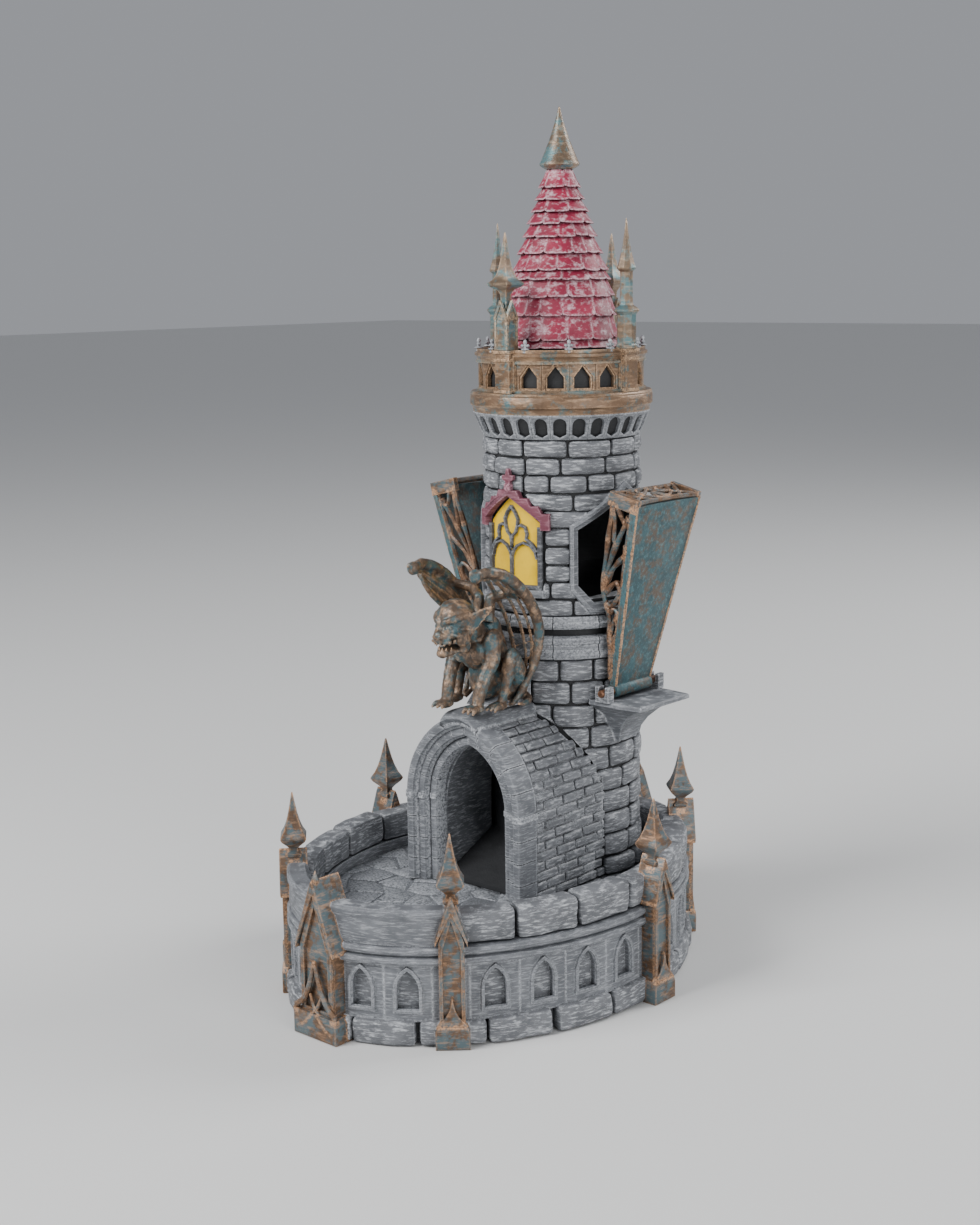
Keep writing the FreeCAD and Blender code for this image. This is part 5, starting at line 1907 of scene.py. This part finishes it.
    def pier(self, name: str, turn: float) -> None:
        """A stepped pier through the gallery under one pinnacle.

        Args:
            name: Which pinnacle it carries.
            turn: Its place round the crown, in degrees.
        """
        low, high = self.drum[0].z, self.deck[1].z
        place = Matrix.Translation(self.centre) @ Matrix.Rotation(math.radians(turn), 4, "Z")
        bm = bmesh.new()
        for half, near, far, top in ((4.4, 30.0, 33.6, high - 0.4), (3.6, 30.0, 35.2, high - 0.1)):
            move(slab(bm, [(-half, low), (half, low), (half, top), (-half, top)], -far, -near, bevel=0.3),
                 place)
        for level, half, far in ((low + 0.2, 4.1, 35.7), (self.deck[0].z - 0.4, 4.1, 35.7),
                                 (high - 1.4, 4.2, 35.7)):
            move(slab(bm, [(-half, level), (half, level), (half, level + 1.3), (-half, level + 1.3)],
                      -far, -30.0, bevel=0.3), place)
        self.maker.piece(bm, "pier_of_" + name + "_pinnacle", Body.UPPER, GILT)

    def square(self, bm: Mesh, foot: Vector, profile: Outline, sides: int,
               twist: float) -> None:
        """A few-sided tapering piece from half widths and heights above a foot."""
        share = 1 / math.cos(math.pi / sides)
        lathe(bm, [(half * share, up) for half, up in profile], foot, steps=sides, twist=twist)

    def gabled_pinnacle(self, name: str) -> None:
        """A pinnacle with four gables, a narrow neck, a concave cap and a spire."""
        low, high = box_mm("pinnacle_" + name)
        foot = Vector(((low.x + high.x) / 2, (low.y + high.y) / 2, low.z))
        tall = high.z - low.z
        bm = bmesh.new()
        self.square(bm, foot, [(0, 0), (3.3, 0), (3.3, 1.0), (2.9, 1.5), (2.9, 11.5), (1.6, 16.0),
                               (0, 16.5)], 4, 45)
        for turn in range(4):
            gable = [(3.2, 11.2), (3.2, 12.6), (0, 18.6), (-3.2, 12.6), (-3.2, 11.2), (-2.3, 11.9),
                     (0, 16.4), (2.3, 11.9)]
            place = Matrix.Translation(foot) @ Matrix.Rotation(math.pi / 2 * turn, 4, "Z")
            move(slab(bm, gable, -3.5, -2.3, bevel=0.2), place)
            move(slab(bm, [(-2.4, 11.4), (2.4, 11.4), (0, 16.4)], -3.05, -1.6), place)
            for sign in (-1, 1):
                move(slab(bm,
                          [(sign * 2.1, 1.2), (sign * 3.2, 1.2), (sign * 3.2, 12.2), (sign * 2.1, 12.2)],
                          -3.3, -2.2, bevel=0.2), place)
        self.square(bm, foot, [(0, 15), (1.9, 15.2), (1.35, 18.5), (1.5, 21), (2.3, 22.6), (4.4, 23.8),
                               (5.0, 24.5),
                               (5.0, 25.1), (3.6, 26.3), (2.5, 28.2), (1.75, 31), (1.2, 34.5), (0.7, 39.5),
                               (0.2, tall - 0.4), (0, tall)], 4, 45)
        self.maker.piece(bm, "gabled_pinnacle_" + name, Body.UPPER, VERDIGRIS, ["pinnacle_" + name],
                         crease=25)

    def turret(self, name: str) -> None:
        """A turret with a ring, a thinner shaft and a slender cone."""
        low, high = box_mm("pinnacle_" + name)
        foot = Vector(((low.x + high.x) / 2, (low.y + high.y) / 2, low.z))
        tall = high.z - low.z
        bm = bmesh.new()
        self.square(bm, foot,
                    [(0, 0), (3.9, 0), (3.9, 1.2), (3.5, 1.7), (3.5, 12.6), (3.9, 13.2), (4.6, 13.9),
                     (4.6, 14.5), (3.8, 15.4), (2.6, 16.2), (2.35, 17.0), (2.3, 28.6), (2.6, 29.0),
                     (3.3, 29.6), (3.4, 30.2), (3.0, 31.4), (2.2, 34.6), (1.35, 39), (0.75, 43),
                     (0.2, tall - 0.4), (0, tall)], 8, 22.5)
        self.maker.piece(bm, "turret_" + name, Body.UPPER, VERDIGRIS, ["pinnacle_" + name], crease=25)


@dataclass
class Roof:
    """The crimson ogee roof in uneven tile courses, and its copper cap."""

    maker: Maker
    course_shares: tuple[float, ...] = (0.0, 0.045, 0.178, 0.287, 0.383, 0.436, 0.528, 0.626, 0.698, 0.765,
                                        0.832, 0.90, 1.0)

    def __post_init__(self) -> None:
        """Reads the roof's size from the frame."""
        low, high = box_mm("roof_tiles")
        self.low, self.high, self.radius = low.z, high.z, high.x
        self.axis_y = (low.y + high.y) / 2
        self.random = random.Random(8)
        self.shares = ((0.0, 1.0), (0.1, 0.985), (0.2, 0.955), (0.32, 0.9), (0.42, 0.82), (0.53, 0.71),
                       (0.66, 0.58), (0.79, 0.44), (0.89, 0.33), (1.0, 0.26))

    def radius_at(self, level: float) -> float:
        """The roof's radius at a level."""
        share = (level - self.low) / (self.high - self.low)
        share = min(max(share, 0), 1)
        for (low, wide), (high, next_wide) in zip(self.shares, self.shares[1:]):
            if low <= share <= high:
                return self.radius * (wide + (next_wide - wide) * (share - low) / (high - low))
        return self.radius * self.shares[-1][1]

    def build(self) -> None:
        """Makes the roof and dresses the collar under it."""
        centre = Vector((0, self.axis_y, 0))
        core = bmesh.new()
        levels = [self.low + (self.high - self.low) * step / 24 for step in range(25)]
        profile = [(0, self.low)] + [(self.radius_at(level) - 1.4, level) for level in levels] + [(0,
                                                                                                   self.high)]
        lathe(core, profile, centre, steps=72)
        self.maker.piece(core, "roof_core", Body.ROOF, CRIMSON, ["roof_tiles"])
        tiles = bmesh.new()
        edges = [self.low + (self.high - self.low) * share for share in self.course_shares]
        for row, (low, high) in enumerate(zip(edges, edges[1:])):
            self.course(tiles, low, high, row)
        self.maker.piece(tiles, "roof_courses", Body.ROOF, CRIMSON)
        self.finial(centre)
        # the collar under the roof gets near-black painted shade
        self.maker.dress(PAINTED_SHADE, "roof_collar")

    def course(self, bm: Mesh, low: float, high: float, row: int) -> None:
        """One course of tiles of uneven width whose feet stand out over the course below.

        Args:
            bm: The mesh to add to.
            low: Level of the course's foot.
            high: Level of the next course's foot.
            row: Number of the course from the foot.
        """
        count = max(round(2 * math.pi * self.radius_at(low) / 8.5), 7)
        weights = [self.random.uniform(0.6, 1.5) for _ in range(count)]
        share = 2 * math.pi / sum(weights)
        turn = self.random.uniform(0, 1)
        top = min(high + 1.6, self.high)
        for weight in weights:
            wide = weight * share
            drop = self.random.uniform(-0.3, 0.3) if row else 0.0
            lift = self.random.uniform(-0.1, 0.1)
            bow = self.random.uniform(-0.15, 0.3)
            start = turn

            def shape(point: Vector) -> Vector:
                """Places one tile."""
                across = start + wide * (0.5 + point.x * 1.04)
                up = point.z + 0.5
                level = low + drop * (1 - up) + (top - low) * up + bow * (2 * point.x) ** 2 * (1 - up)
                level += 0.25 * noise.noise(Vector((across * 7, row * 3.1, 0))) * (1 - up)
                thick = 1.35 * (1 - up) + 0.45
                out = self.radius_at(level) - 0.15 + (point.y + 0.5) * thick - 0.9 + lift
                out += 0.85 * (1 - up) ** 4 + 0.16 * noise.noise(Vector((across * 9, level * 0.35, row)))
                return Vector((math.sin(across) * out, self.axis_y - math.cos(across) * out, level))

            stamp(bm, self.maker.block, shape)
            turn += wide

    def finial(self, centre: Vector) -> None:
        """The copper cone with its turned lip."""
        low, high = box_mm("roof_finial")
        wide = high.x
        tall = high.z - low.z
        bm = bmesh.new()
        lathe(bm, [(0, low.z), (5.0, low.z), (5.6, low.z + 0.4), (7.1, low.z + 1.3), (wide, low.z + 1.9),
                   (wide, low.z + 2.5), (wide - 0.5, low.z + 3.2), (wide * 0.72, low.z + tall * 0.3),
                   (wide * 0.48, low.z + tall * 0.5), (wide * 0.27, low.z + tall * 0.7),
                   (wide * 0.12, low.z + tall * 0.87), (0.35, high.z - 0.5), (0, high.z)], centre, steps=64)
        self.maker.piece(bm, "roof_spike", Body.ROOF, VERDIGRIS, ["roof_finial"])


# ---------------------------------------------------------------- figure over the doorway

@dataclass
class Gargoyle:
    """The crouching winged figure on its saddle over the arch."""

    maker: Maker
    grain: float = 0.42

    def __post_init__(self) -> None:
        """Reads the figure's place from the frame."""
        low, high = box_mm("gargoyle_saddle")
        self.saddle = (low, high)
        self.foot = high.z

    def build(self) -> None:
        """Makes the saddle, the body and the wings."""
        self.seat()
        self.body()
        self.wings()

    def seat(self) -> None:
        """The saddle stone: a rough lump that hangs over the arch's face."""
        low, high = self.saddle
        bm = bmesh.new()
        lowest = 93.5
        rings = []
        for step in range(15):
            place = low.y + (high.y - low.y) * step / 14
            share = (place - low.y) / (high.y - low.y)
            round_off = max(1 - share * 9, 0)
            ring = []
            for turn in (2 * math.pi * corner / 18 for corner in range(18)):
                across = math.copysign(abs(math.cos(turn)) ** 0.75,
                                       math.cos(turn)) * (10.6 - 2.2 * round_off)
                up = math.sin(turn)
                middle = (high.z + lowest) / 2
                half = (high.z - lowest) / 2
                level = middle + math.copysign(abs(up) ** 0.7, up) * (half - 0.2 - 1.6 * round_off)
                if up < 0:
                    level = max(level, RIDGE - 0.036 * across * across - 4.5 + 3.6 * round_off)
                point = Vector((across, place, level))
                ring.append(point + UP * rough(point, 4, 0.5) * (1 if up < 0.6 else 0.2))
            rings.append(ring)
        sweep(bm, rings)
        wedge = slab(bm, [(-6.0, high.z - 0.6), (-1.0, high.z + 4.5), (7.5, high.z + 12.5),
                          (12.6, high.z + 14.5), (12.6, high.z - 0.6)], -9.5, 9.5, bevel=0.6)
        for vert in wedge:
            vert.co = Vector((vert.co.y * (1.0 if vert.co.x > 5 else 0.85), vert.co.x, vert.co.z))
        self.maker.piece(bm, "saddle_stone", Body.BASE, SMOOTH, ["gargoyle_saddle"])

    def pair(self, bm: Mesh, centre: Triple, radii: Triple,
             tilt: Triple = (0, 0, 0)) -> None:
        """Adds an ellipsoid on each side, or one on the middle line.

        Args:
            bm: The mesh to add to.
            centre: The middle of the right-hand one; its height is above the saddle.
            radii: Its half sizes.
            tilt: Its turn about X, Y and Z, in degrees.
        """
        for sign in ((1, -1) if centre[0] else (1,)):
            turn = Matrix.Rotation(math.radians(tilt[2] * sign), 3, "Z")
            turn = turn @ Matrix.Rotation(math.radians(tilt[1] * sign), 3, "Y")
            turn = turn @ Matrix.Rotation(math.radians(tilt[0]), 3, "X")
            ball(bm, Vector((centre[0] * sign, centre[1], centre[2] + self.foot)), Vector(radii), turn)

    def limb(self, bm: Mesh, points: Sequence[Triple], radii: Sequence[float],
             both: bool = True) -> None:
        """Adds a tapering limb on both sides through points above the saddle."""
        line = curve([(*point, radius) for point, radius in zip(points, radii)], 4)
        for sign in ((1, -1) if both else (1,)):
            spots = [Vector((x * sign, y, z + self.foot)) for x, y, z, _ in line]
            rod(bm, spots, [radius for *_, radius in line], sides=9)

    def body(self) -> None:
        """The body, sculpted from overlapping forms that are fused into one skin."""
        bm = bmesh.new()
        self.pair(bm, (0, -1, 14), (7.6, 9.0, 12.5), (-14, 0, 0))
        self.pair(bm, (0, -7.5, 23), (8.2, 7.0, 8.5), (-20, 0, 0))
        self.pair(bm, (0, 3, 8), (8.5, 8.5, 8.0))
        self.pair(bm, (4.2, -12.4, 22), (3.6, 2.6, 4.6))
        self.pair(bm, (0, -1.5, 30), (5.5, 5.5, 5.0))
        self.limb(bm, [(0, -6, 27), (0, -12, 31), (0, -17, 34)], [5.4, 5.6, 5.0], both=False)
        self.limb(bm, [(3.2, -10, 25), (3.0, -14.5, 30), (3.4, -18, 33)], [1.2, 1.3, 1.1])
        # head
        self.pair(bm, (0, -19.2, 36.8), (7.4, 8.2, 7.2), (-8, 0, 0))
        self.pair(bm, (0, -23.6, 32.3), (5.4, 4.6, 4.0))
        self.pair(bm, (0, -27.0, 30.2), (3.9, 3.0, 2.7), (20, 0, 0))
        self.pair(bm, (0, -29.2, 31.4), (2.2, 1.5, 1.4))
        self.pair(bm, (1.3, -29.9, 30.6), (0.95, 0.8, 0.7))
        self.pair(bm, (5.3, -21.0, 29.6), (2.4, 3.6, 3.4), (20, 0, 0))
        self.pair(bm, (3.3, -27.3, 28.6), (1.5, 1.6, 0.9))
        self.pair(bm, (0, -23.4, 24.6), (3.9, 4.8, 1.8), (14, 0, 0))
        self.pair(bm, (0, -27.2, 23.9), (2.9, 2.0, 1.7), (20, 0, 0))
        self.pair(bm, (4.6, -19.6, 25.8), (1.7, 3.4, 2.2), (30, 0, 0))
        self.limb(bm, [(0, -27.0, 35.2), (3.0, -26.6, 36.4), (6.0, -23.4, 37.8), (7.6, -19.4, 39.4)],
                  [1.1, 1.35, 1.2, 0.6])
        self.limb(bm, [(1.2, -28.0, 33.6), (3.6, -26.6, 31.8), (6.2, -23.2, 30.8), (7.2, -19.6, 32.2)],
                  [0.6, 0.75, 0.75, 0.5])
        self.pair(bm, (3.2, -26.2, 33.9), (1.25, 0.9, 0.95))
        for across, back, size in ((0.9, -29.3, 0.5), (2.4, -28.5, 0.62), (3.5, -26.8, 0.5)):
            self.limb(bm, [(across, back, 28.9), (across, back + 0.1, 27.6), (across, back, 26.7)],
                      [size, size * 0.75, 0.1])
            self.limb(bm, [(across * 0.85, back + 1.6, 24.9), (across * 0.85, back + 1.4, 26.1),
                           (across * 0.85, back + 1.4, 27.0)], [size, size * 0.7, 0.1])
        # ears swept back
        for sign in (1, -1):
            rings = []
            for step in range(9):
                share = step / 8
                middle = Vector((6.2 + 5.2 * share, -19.6 + 9.5 * share, 33.6 + 7.2 * share ** 0.8))
                half, thick = 4.4 * (1 - share) ** 0.7 + 0.25, 1.15 * (1 - share) + 0.35
                ring = []
                for turn in (2 * math.pi * place / 12 for place in range(12)):
                    dish = 1.5 * math.sin(turn) ** 2 * (1 - share)
                    point = middle + Vector((0.45, 0.15, -0.1)) * (math.cos(turn) * thick * 1.6 + dish)
                    point += Vector((0.1, -0.35,
                                     0.93)) * math.sin(turn) * half * (1.0 if math.sin(turn) > 0 else 0.9)
                    ring.append(Vector((point.x * sign, point.y, point.z + self.foot)))
                rings.append(ring)
            sweep(bm, rings)
        # arms and forefeet
        self.pair(bm, (8.0, -8.0, 25.0), (4.0, 4.4, 6.6), (-8, 8, 0))
        self.limb(bm, [(8.6, -8.0, 27), (9.4, -10.2, 19), (8.9, -13.0, 14.5), (8.3, -15.4, 8),
                       (8.0, -16.8, 2.6)],
                  [3.6, 3.3, 2.7, 2.6, 2.3])
        self.pair(bm, (9.7, -9.4, 20.5), (2.6, 2.8, 3.6), (-16, 0, 0))
        self.pair(bm, (8.8, -13.6, 12.2), (2.7, 2.5, 3.8), (-20, 0, 0))
        self.limb(bm, [(9.9, -9.0, 18), (10.2, -12, 13), (9.2, -15, 6)], [0.8, 0.7, 0.5])
        self.pair(bm, (8.0, -17.6, 1.9), (3.3, 3.4, 1.9))
        for toe in (-2.3, 0.0, 2.3):
            self.limb(bm, [(8.0 + toe * 0.8, -18.6, 2.3), (8.0 + toe, -21.0, 1.9),
                           (8.0 + toe * 1.15, -22.6, 0.7)],
                      [1.15, 1.05, 0.4])
        # haunches, raised knees and hind feet
        self.pair(bm, (7.4, 4.5, 7.5), (5.2, 7.5, 7.0), (20, 0, 0))
        self.limb(bm, [(8.0, 5.0, 7.0), (10.8, 1.8, 14.0), (12.6, -1.6, 20.2)], [5.2, 4.6, 3.3])
        self.pair(bm, (12.5, -1.8, 20.4), (3.0, 3.1, 3.3))
        self.pair(bm, (12.0, -3.4, 15.2), (2.6, 2.8, 4.4), (10, 0, 0))
        self.limb(bm, [(12.6, -2.6, 19.6), (12.4, -4.2, 12.8), (11.8, -5.6, 7.0), (11.5, -7.0, 2.6)],
                  [2.7, 2.5, 1.9, 1.9])
        self.pair(bm, (11.4, -8.6, 1.8), (2.8, 4.2, 1.8))
        for toe in (-1.9, 0.2, 2.2):
            self.limb(bm, [(11.4 + toe * 0.8, -10.0, 2.1), (11.5 + toe, -12.2, 1.7),
                           (11.5 + toe * 1.1, -13.7, 0.6)],
                      [1.0, 0.95, 0.35])
        # back ridge and tail
        self.limb(bm, [(0, -6, 34), (0, 1, 31.5), (0, 6, 25), (0, 8.6, 16), (0, 10, 8)],
                  [1.4, 1.6, 1.6, 1.5, 2.2], both=False)
        self.limb(bm, [(1, 9.5, 3), (7, 10.8, 2.2), (13.0, 7.2, 1.9), (16.0, 1.2, 1.8), (16.8, -3.4, 2.6)],
                  [2.4, 2.0, 1.5, 1.1, 0.4], both=False)
        skin = self.fuse(bm, self.grain)
        for vert in skin.verts:
            vert.co.z = max(vert.co.z, self.foot + 0.02)
            vert.co += vert.normal * rough(vert.co, 1.6, 0.22)
        self.maker.piece(skin, "figure_body", Body.BASE, BEAST, ["gargoyle_body"], crease=180)

    def fuse(self, bm: Mesh, grain: float) -> Mesh:
        """Fuses overlapping closed forms into one smooth skin.

        Args:
            bm: The forms, which are freed.
            grain: The finest detail kept.

        Returns:
            The skin.
        """
        bmesh.ops.recalc_face_normals(bm, faces=bm.faces[:])
        mesh = bpy.data.meshes.new("forms")
        bm.to_mesh(mesh)
        bm.free()
        item = bpy.data.objects.new("forms", mesh)
        bpy.context.scene.collection.objects.link(item)
        remesh = item.modifiers.new("skin", "REMESH")
        remesh.mode = "VOXEL"
        remesh.voxel_size = grain
        soft = item.modifiers.new("soft", "SMOOTH")
        soft.factor = 0.5
        soft.iterations = 2
        graph = bpy.context.evaluated_depsgraph_get()
        skin = bmesh.new()
        skin.from_mesh(item.evaluated_get(graph).to_mesh())
        bpy.data.objects.remove(item)
        bpy.data.meshes.remove(mesh)
        skin.normal_update()
        return skin

    def wings(self) -> None:
        """Folded bat wings that arch from a clawed wrist over the back and down to the seat."""
        bm = bmesh.new()
        arc = curve([(16.0, -25.0, 55.0), (17.4, -20.0, 55.6), (18.0, -13.0, 53.8), (18.2, -5.0, 49.0),
                     (18.3, 2.0, 42.0), (18.0, 7.0, 33.5), (17.4, 8.6, 25.5), (15.6, 6.6, 14.5),
                     (13.6, 1.0, 5.0), (12.6, -2.5, 1.2)], 4)
        hung = curve([(15.0, -23.0, 52.5), (14.4, -20.5, 47.0), (13.2, -16.0, 41.0), (10.5, -9.5, 35.5),
                      (8.6, -3.0, 31.0), (8.0, 1.5, 25.0), (8.4, 3.4, 18.0), (9.4, 3.4, 11.0),
                      (10.4, 0.5, 4.0), (11.6, -2.5, 1.0)], 4)
        tucked = curve([(14.6, -22.0, 53.0), (12.0, -15.0, 51.5), (8.0, -8.0, 47.5), (5.0, -1.0, 41.5),
                        (3.8, 5.0, 33.0), (3.6, 8.2, 25.0), (4.6, 9.4, 16.5), (7.0, 8.0, 9.0),
                        (9.6, 4.0, 4.0), (11.6, -2.5, 1.0)], 4)
        count = len(arc)
        for sign in (1, -1):
            front = tucked if sign > 0 else hung
            def spot(index: int, share: float, lift: float) -> Vector:
                """A point of the skin between the two edges, bowed outwards."""
                near, far = Vector(front[index]), Vector(arc[index])
                point = near.lerp(far, share)
                bow = math.sin(math.pi * share)
                ridge = 0.55 * math.cos(share * math.pi * 8) * bow
                point += Vector((1.0, 0.15, 0.1)) * (1.2 * bow + ridge + lift)
                return Vector((point.x * sign, point.y, point.z + self.foot))
            rings = []
            for index in range(count):
                shares = [place / 16 for place in range(17)]
                ring = [spot(index, share, 0.5) for share in shares]
                ring += [spot(index, share, -0.5) for share in reversed(shares)]
                rings.append(ring)
            sweep(bm, rings)
            thick = [2.0, 2.4, 2.6, 2.6, 2.5, 2.3, 2.0, 1.6, 1.2, 0.9]
            radii = [thick[min(index * 9 // (count - 1), 9)] * 0.92 for index in range(count)]
            line = [Vector((x * sign, y, z + self.foot)) for x, y, z in arc]
            rod(bm, line, radii, sides=10)
            rim = [Vector((x * sign, y, z + self.foot)) for x, y, z in front]
            rod(bm, rim, [0.85] * len(rim), sides=8)
            tip = line[0]
            ball(bm, tip + Vector((0, -0.4, -0.3)), Vector((2.5, 2.7, 2.7)))
            rod(bm, [tip + Vector((0, -1.4, 0.8)), tip + Vector((0, -3.0, 1.2)),
                     tip + Vector((0, -4.0, 0.4))],
                [1.3, 0.9, 0.2], sides=8)
            root = Vector((sign * 3.0, -3.0, self.foot + 42.0))
            rod(bm, [Vector((sign * 2.5, -4.0, self.foot + 33)), root,
                     Vector((sign * 9.0, 0.0, self.foot + 44.5)), line[14]], [2.6, 2.2, 2.1, 1.8], sides=9)
            for share in (0.3, 0.55, 0.78):
                finger = [spot(index, share, 0.35) for index in range(2, count - 4)]
                rod(bm, finger, [0.75 - 0.3 * step / len(finger) for step in range(len(finger))], sides=7)
        skin = self.fuse(bm, 0.45)
        for vert in skin.verts:
            vert.co.z = max(vert.co.z, self.foot + 0.02)
            vert.co += vert.normal * rough(vert.co, 1.8, 0.16)
        self.maker.piece(skin, "figure_wings", Body.BASE, BEAST, ["gargoyle_wings"], crease=180)


# ---------------------------------------------------------------- stage

@dataclass
class Studio:
    """The floor, the light and the camera."""

    floor_colour: Triple = (0.72, 0.72, 0.71)
    sky_strength: float = 0.36
    place: Triple = (0.4540, -0.5038, 0.2693)
    lens: float = 52.507
    azimuth: float = 0.6921 + 0.04136
    pitch: float = 0.18539
    roll: float = -0.0149

    def build(self) -> None:
        """Makes the stage."""
        self.floor()
        self.lights()
        self.camera()

    def floor(self) -> None:
        """A wide plain pale floor."""
        bm = bmesh.new()
        bmesh.ops.create_grid(bm, x_segments=1, y_segments=1, size=8)
        mesh = bpy.data.meshes.new("floor")
        bm.to_mesh(mesh)
        bm.free()
        item = bpy.data.objects.new("floor", mesh)
        bpy.context.scene.collection.objects.link(item)
        material = bpy.data.materials.new("floor_pale")
        material.use_nodes = True
        shader = material.node_tree.nodes["Principled BSDF"]
        shader.inputs["Base Color"].default_value = (*self.floor_colour, 1)
        shader.inputs["Roughness"].default_value = 0.7
        mesh.materials.append(material)
        item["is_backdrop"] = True

    def lights(self) -> None:
        """A large soft key from the left front, a fill from the right, a rim from behind and a pale world."""
        world = bpy.data.worlds.new("studio")
        world.use_nodes = True
        sky = world.node_tree.nodes["Background"]
        sky.inputs["Color"].default_value = (0.9, 0.93, 1.0, 1)
        sky.inputs["Strength"].default_value = self.sky_strength
        bpy.context.scene.world = world
        aim = Vector((0, 0.02, 0.17))
        lamps = (("key", (-0.35, -1.0, 0.95), 0.7, 20.0), ("fill", (1.25, -0.35, 0.5), 0.9, 9.0),
                 ("rim", (0.5, 1.1, 0.9), 0.6, 12.0))
        for name, place, size, power in lamps:
            lamp = bpy.data.lights.new(name, "AREA")
            lamp.size = size
            lamp.energy = power
            item = bpy.data.objects.new(name, lamp)
            item.location = place
            item.rotation_euler = (aim - Vector(place)).to_track_quat("-Z", "Y").to_euler()
            bpy.context.scene.collection.objects.link(item)
            item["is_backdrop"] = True

    def camera(self) -> None:
        """The camera, set with a small turn and roll away from the straight aim."""
        azimuth, pitch, roll = self.azimuth, self.pitch, self.roll
        forward = Vector((-math.sin(azimuth) * math.cos(pitch), math.cos(azimuth) * math.cos(pitch),
                          -math.sin(pitch)))
        level = Vector((math.cos(azimuth), math.sin(azimuth), 0))
        upright = level.cross(forward)
        right = level * math.cos(roll) + upright * math.sin(roll)
        up = upright * math.cos(roll) - level * math.sin(roll)
        lens = bpy.data.cameras.new("view")
        lens.lens = self.lens
        lens.sensor_width = 36
        lens.clip_start = 0.01
        item = bpy.data.objects.new("view", lens)
        item.matrix_world = Matrix.Translation(self.place) @ Matrix((right, up,
                                                                     -forward)).transposed().to_4x4()
        bpy.context.scene.collection.objects.link(item)
        bpy.context.scene.camera = item


def clear_startup() -> None:
    """Removes the objects of an empty session."""
    for name in ("Cube", "Light", "Camera"):
        item = bpy.data.objects.get(name)
        if item:
            bpy.data.objects.remove(item)


def numbers(value: object) -> object:
    """Plain lists of numbers from vectors and lists of them."""
    if isinstance(value, (int, float)):
        return float(value)
    return [numbers(item) for item in value]


def main() -> None:
    """Builds every piece."""
    logging.basicConfig(level=logging.INFO)
    clear_startup()
    maker = Maker()
    TrayBase(maker).build()
    Buttresses(maker).build()
    Doorway(maker).build()
    LowerShaft(maker).build()
    UpperShaft(maker).build()
    for side in Side:
        Hatch(maker, side).build()
    Crown(maker).build()
    Roof(maker).build()
    Gargoyle(maker).build()
    Studio().build()
    {"cad": numbers(cad_bounds), "visual": numbers(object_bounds())}


if __name__ == "__main__":
    main()
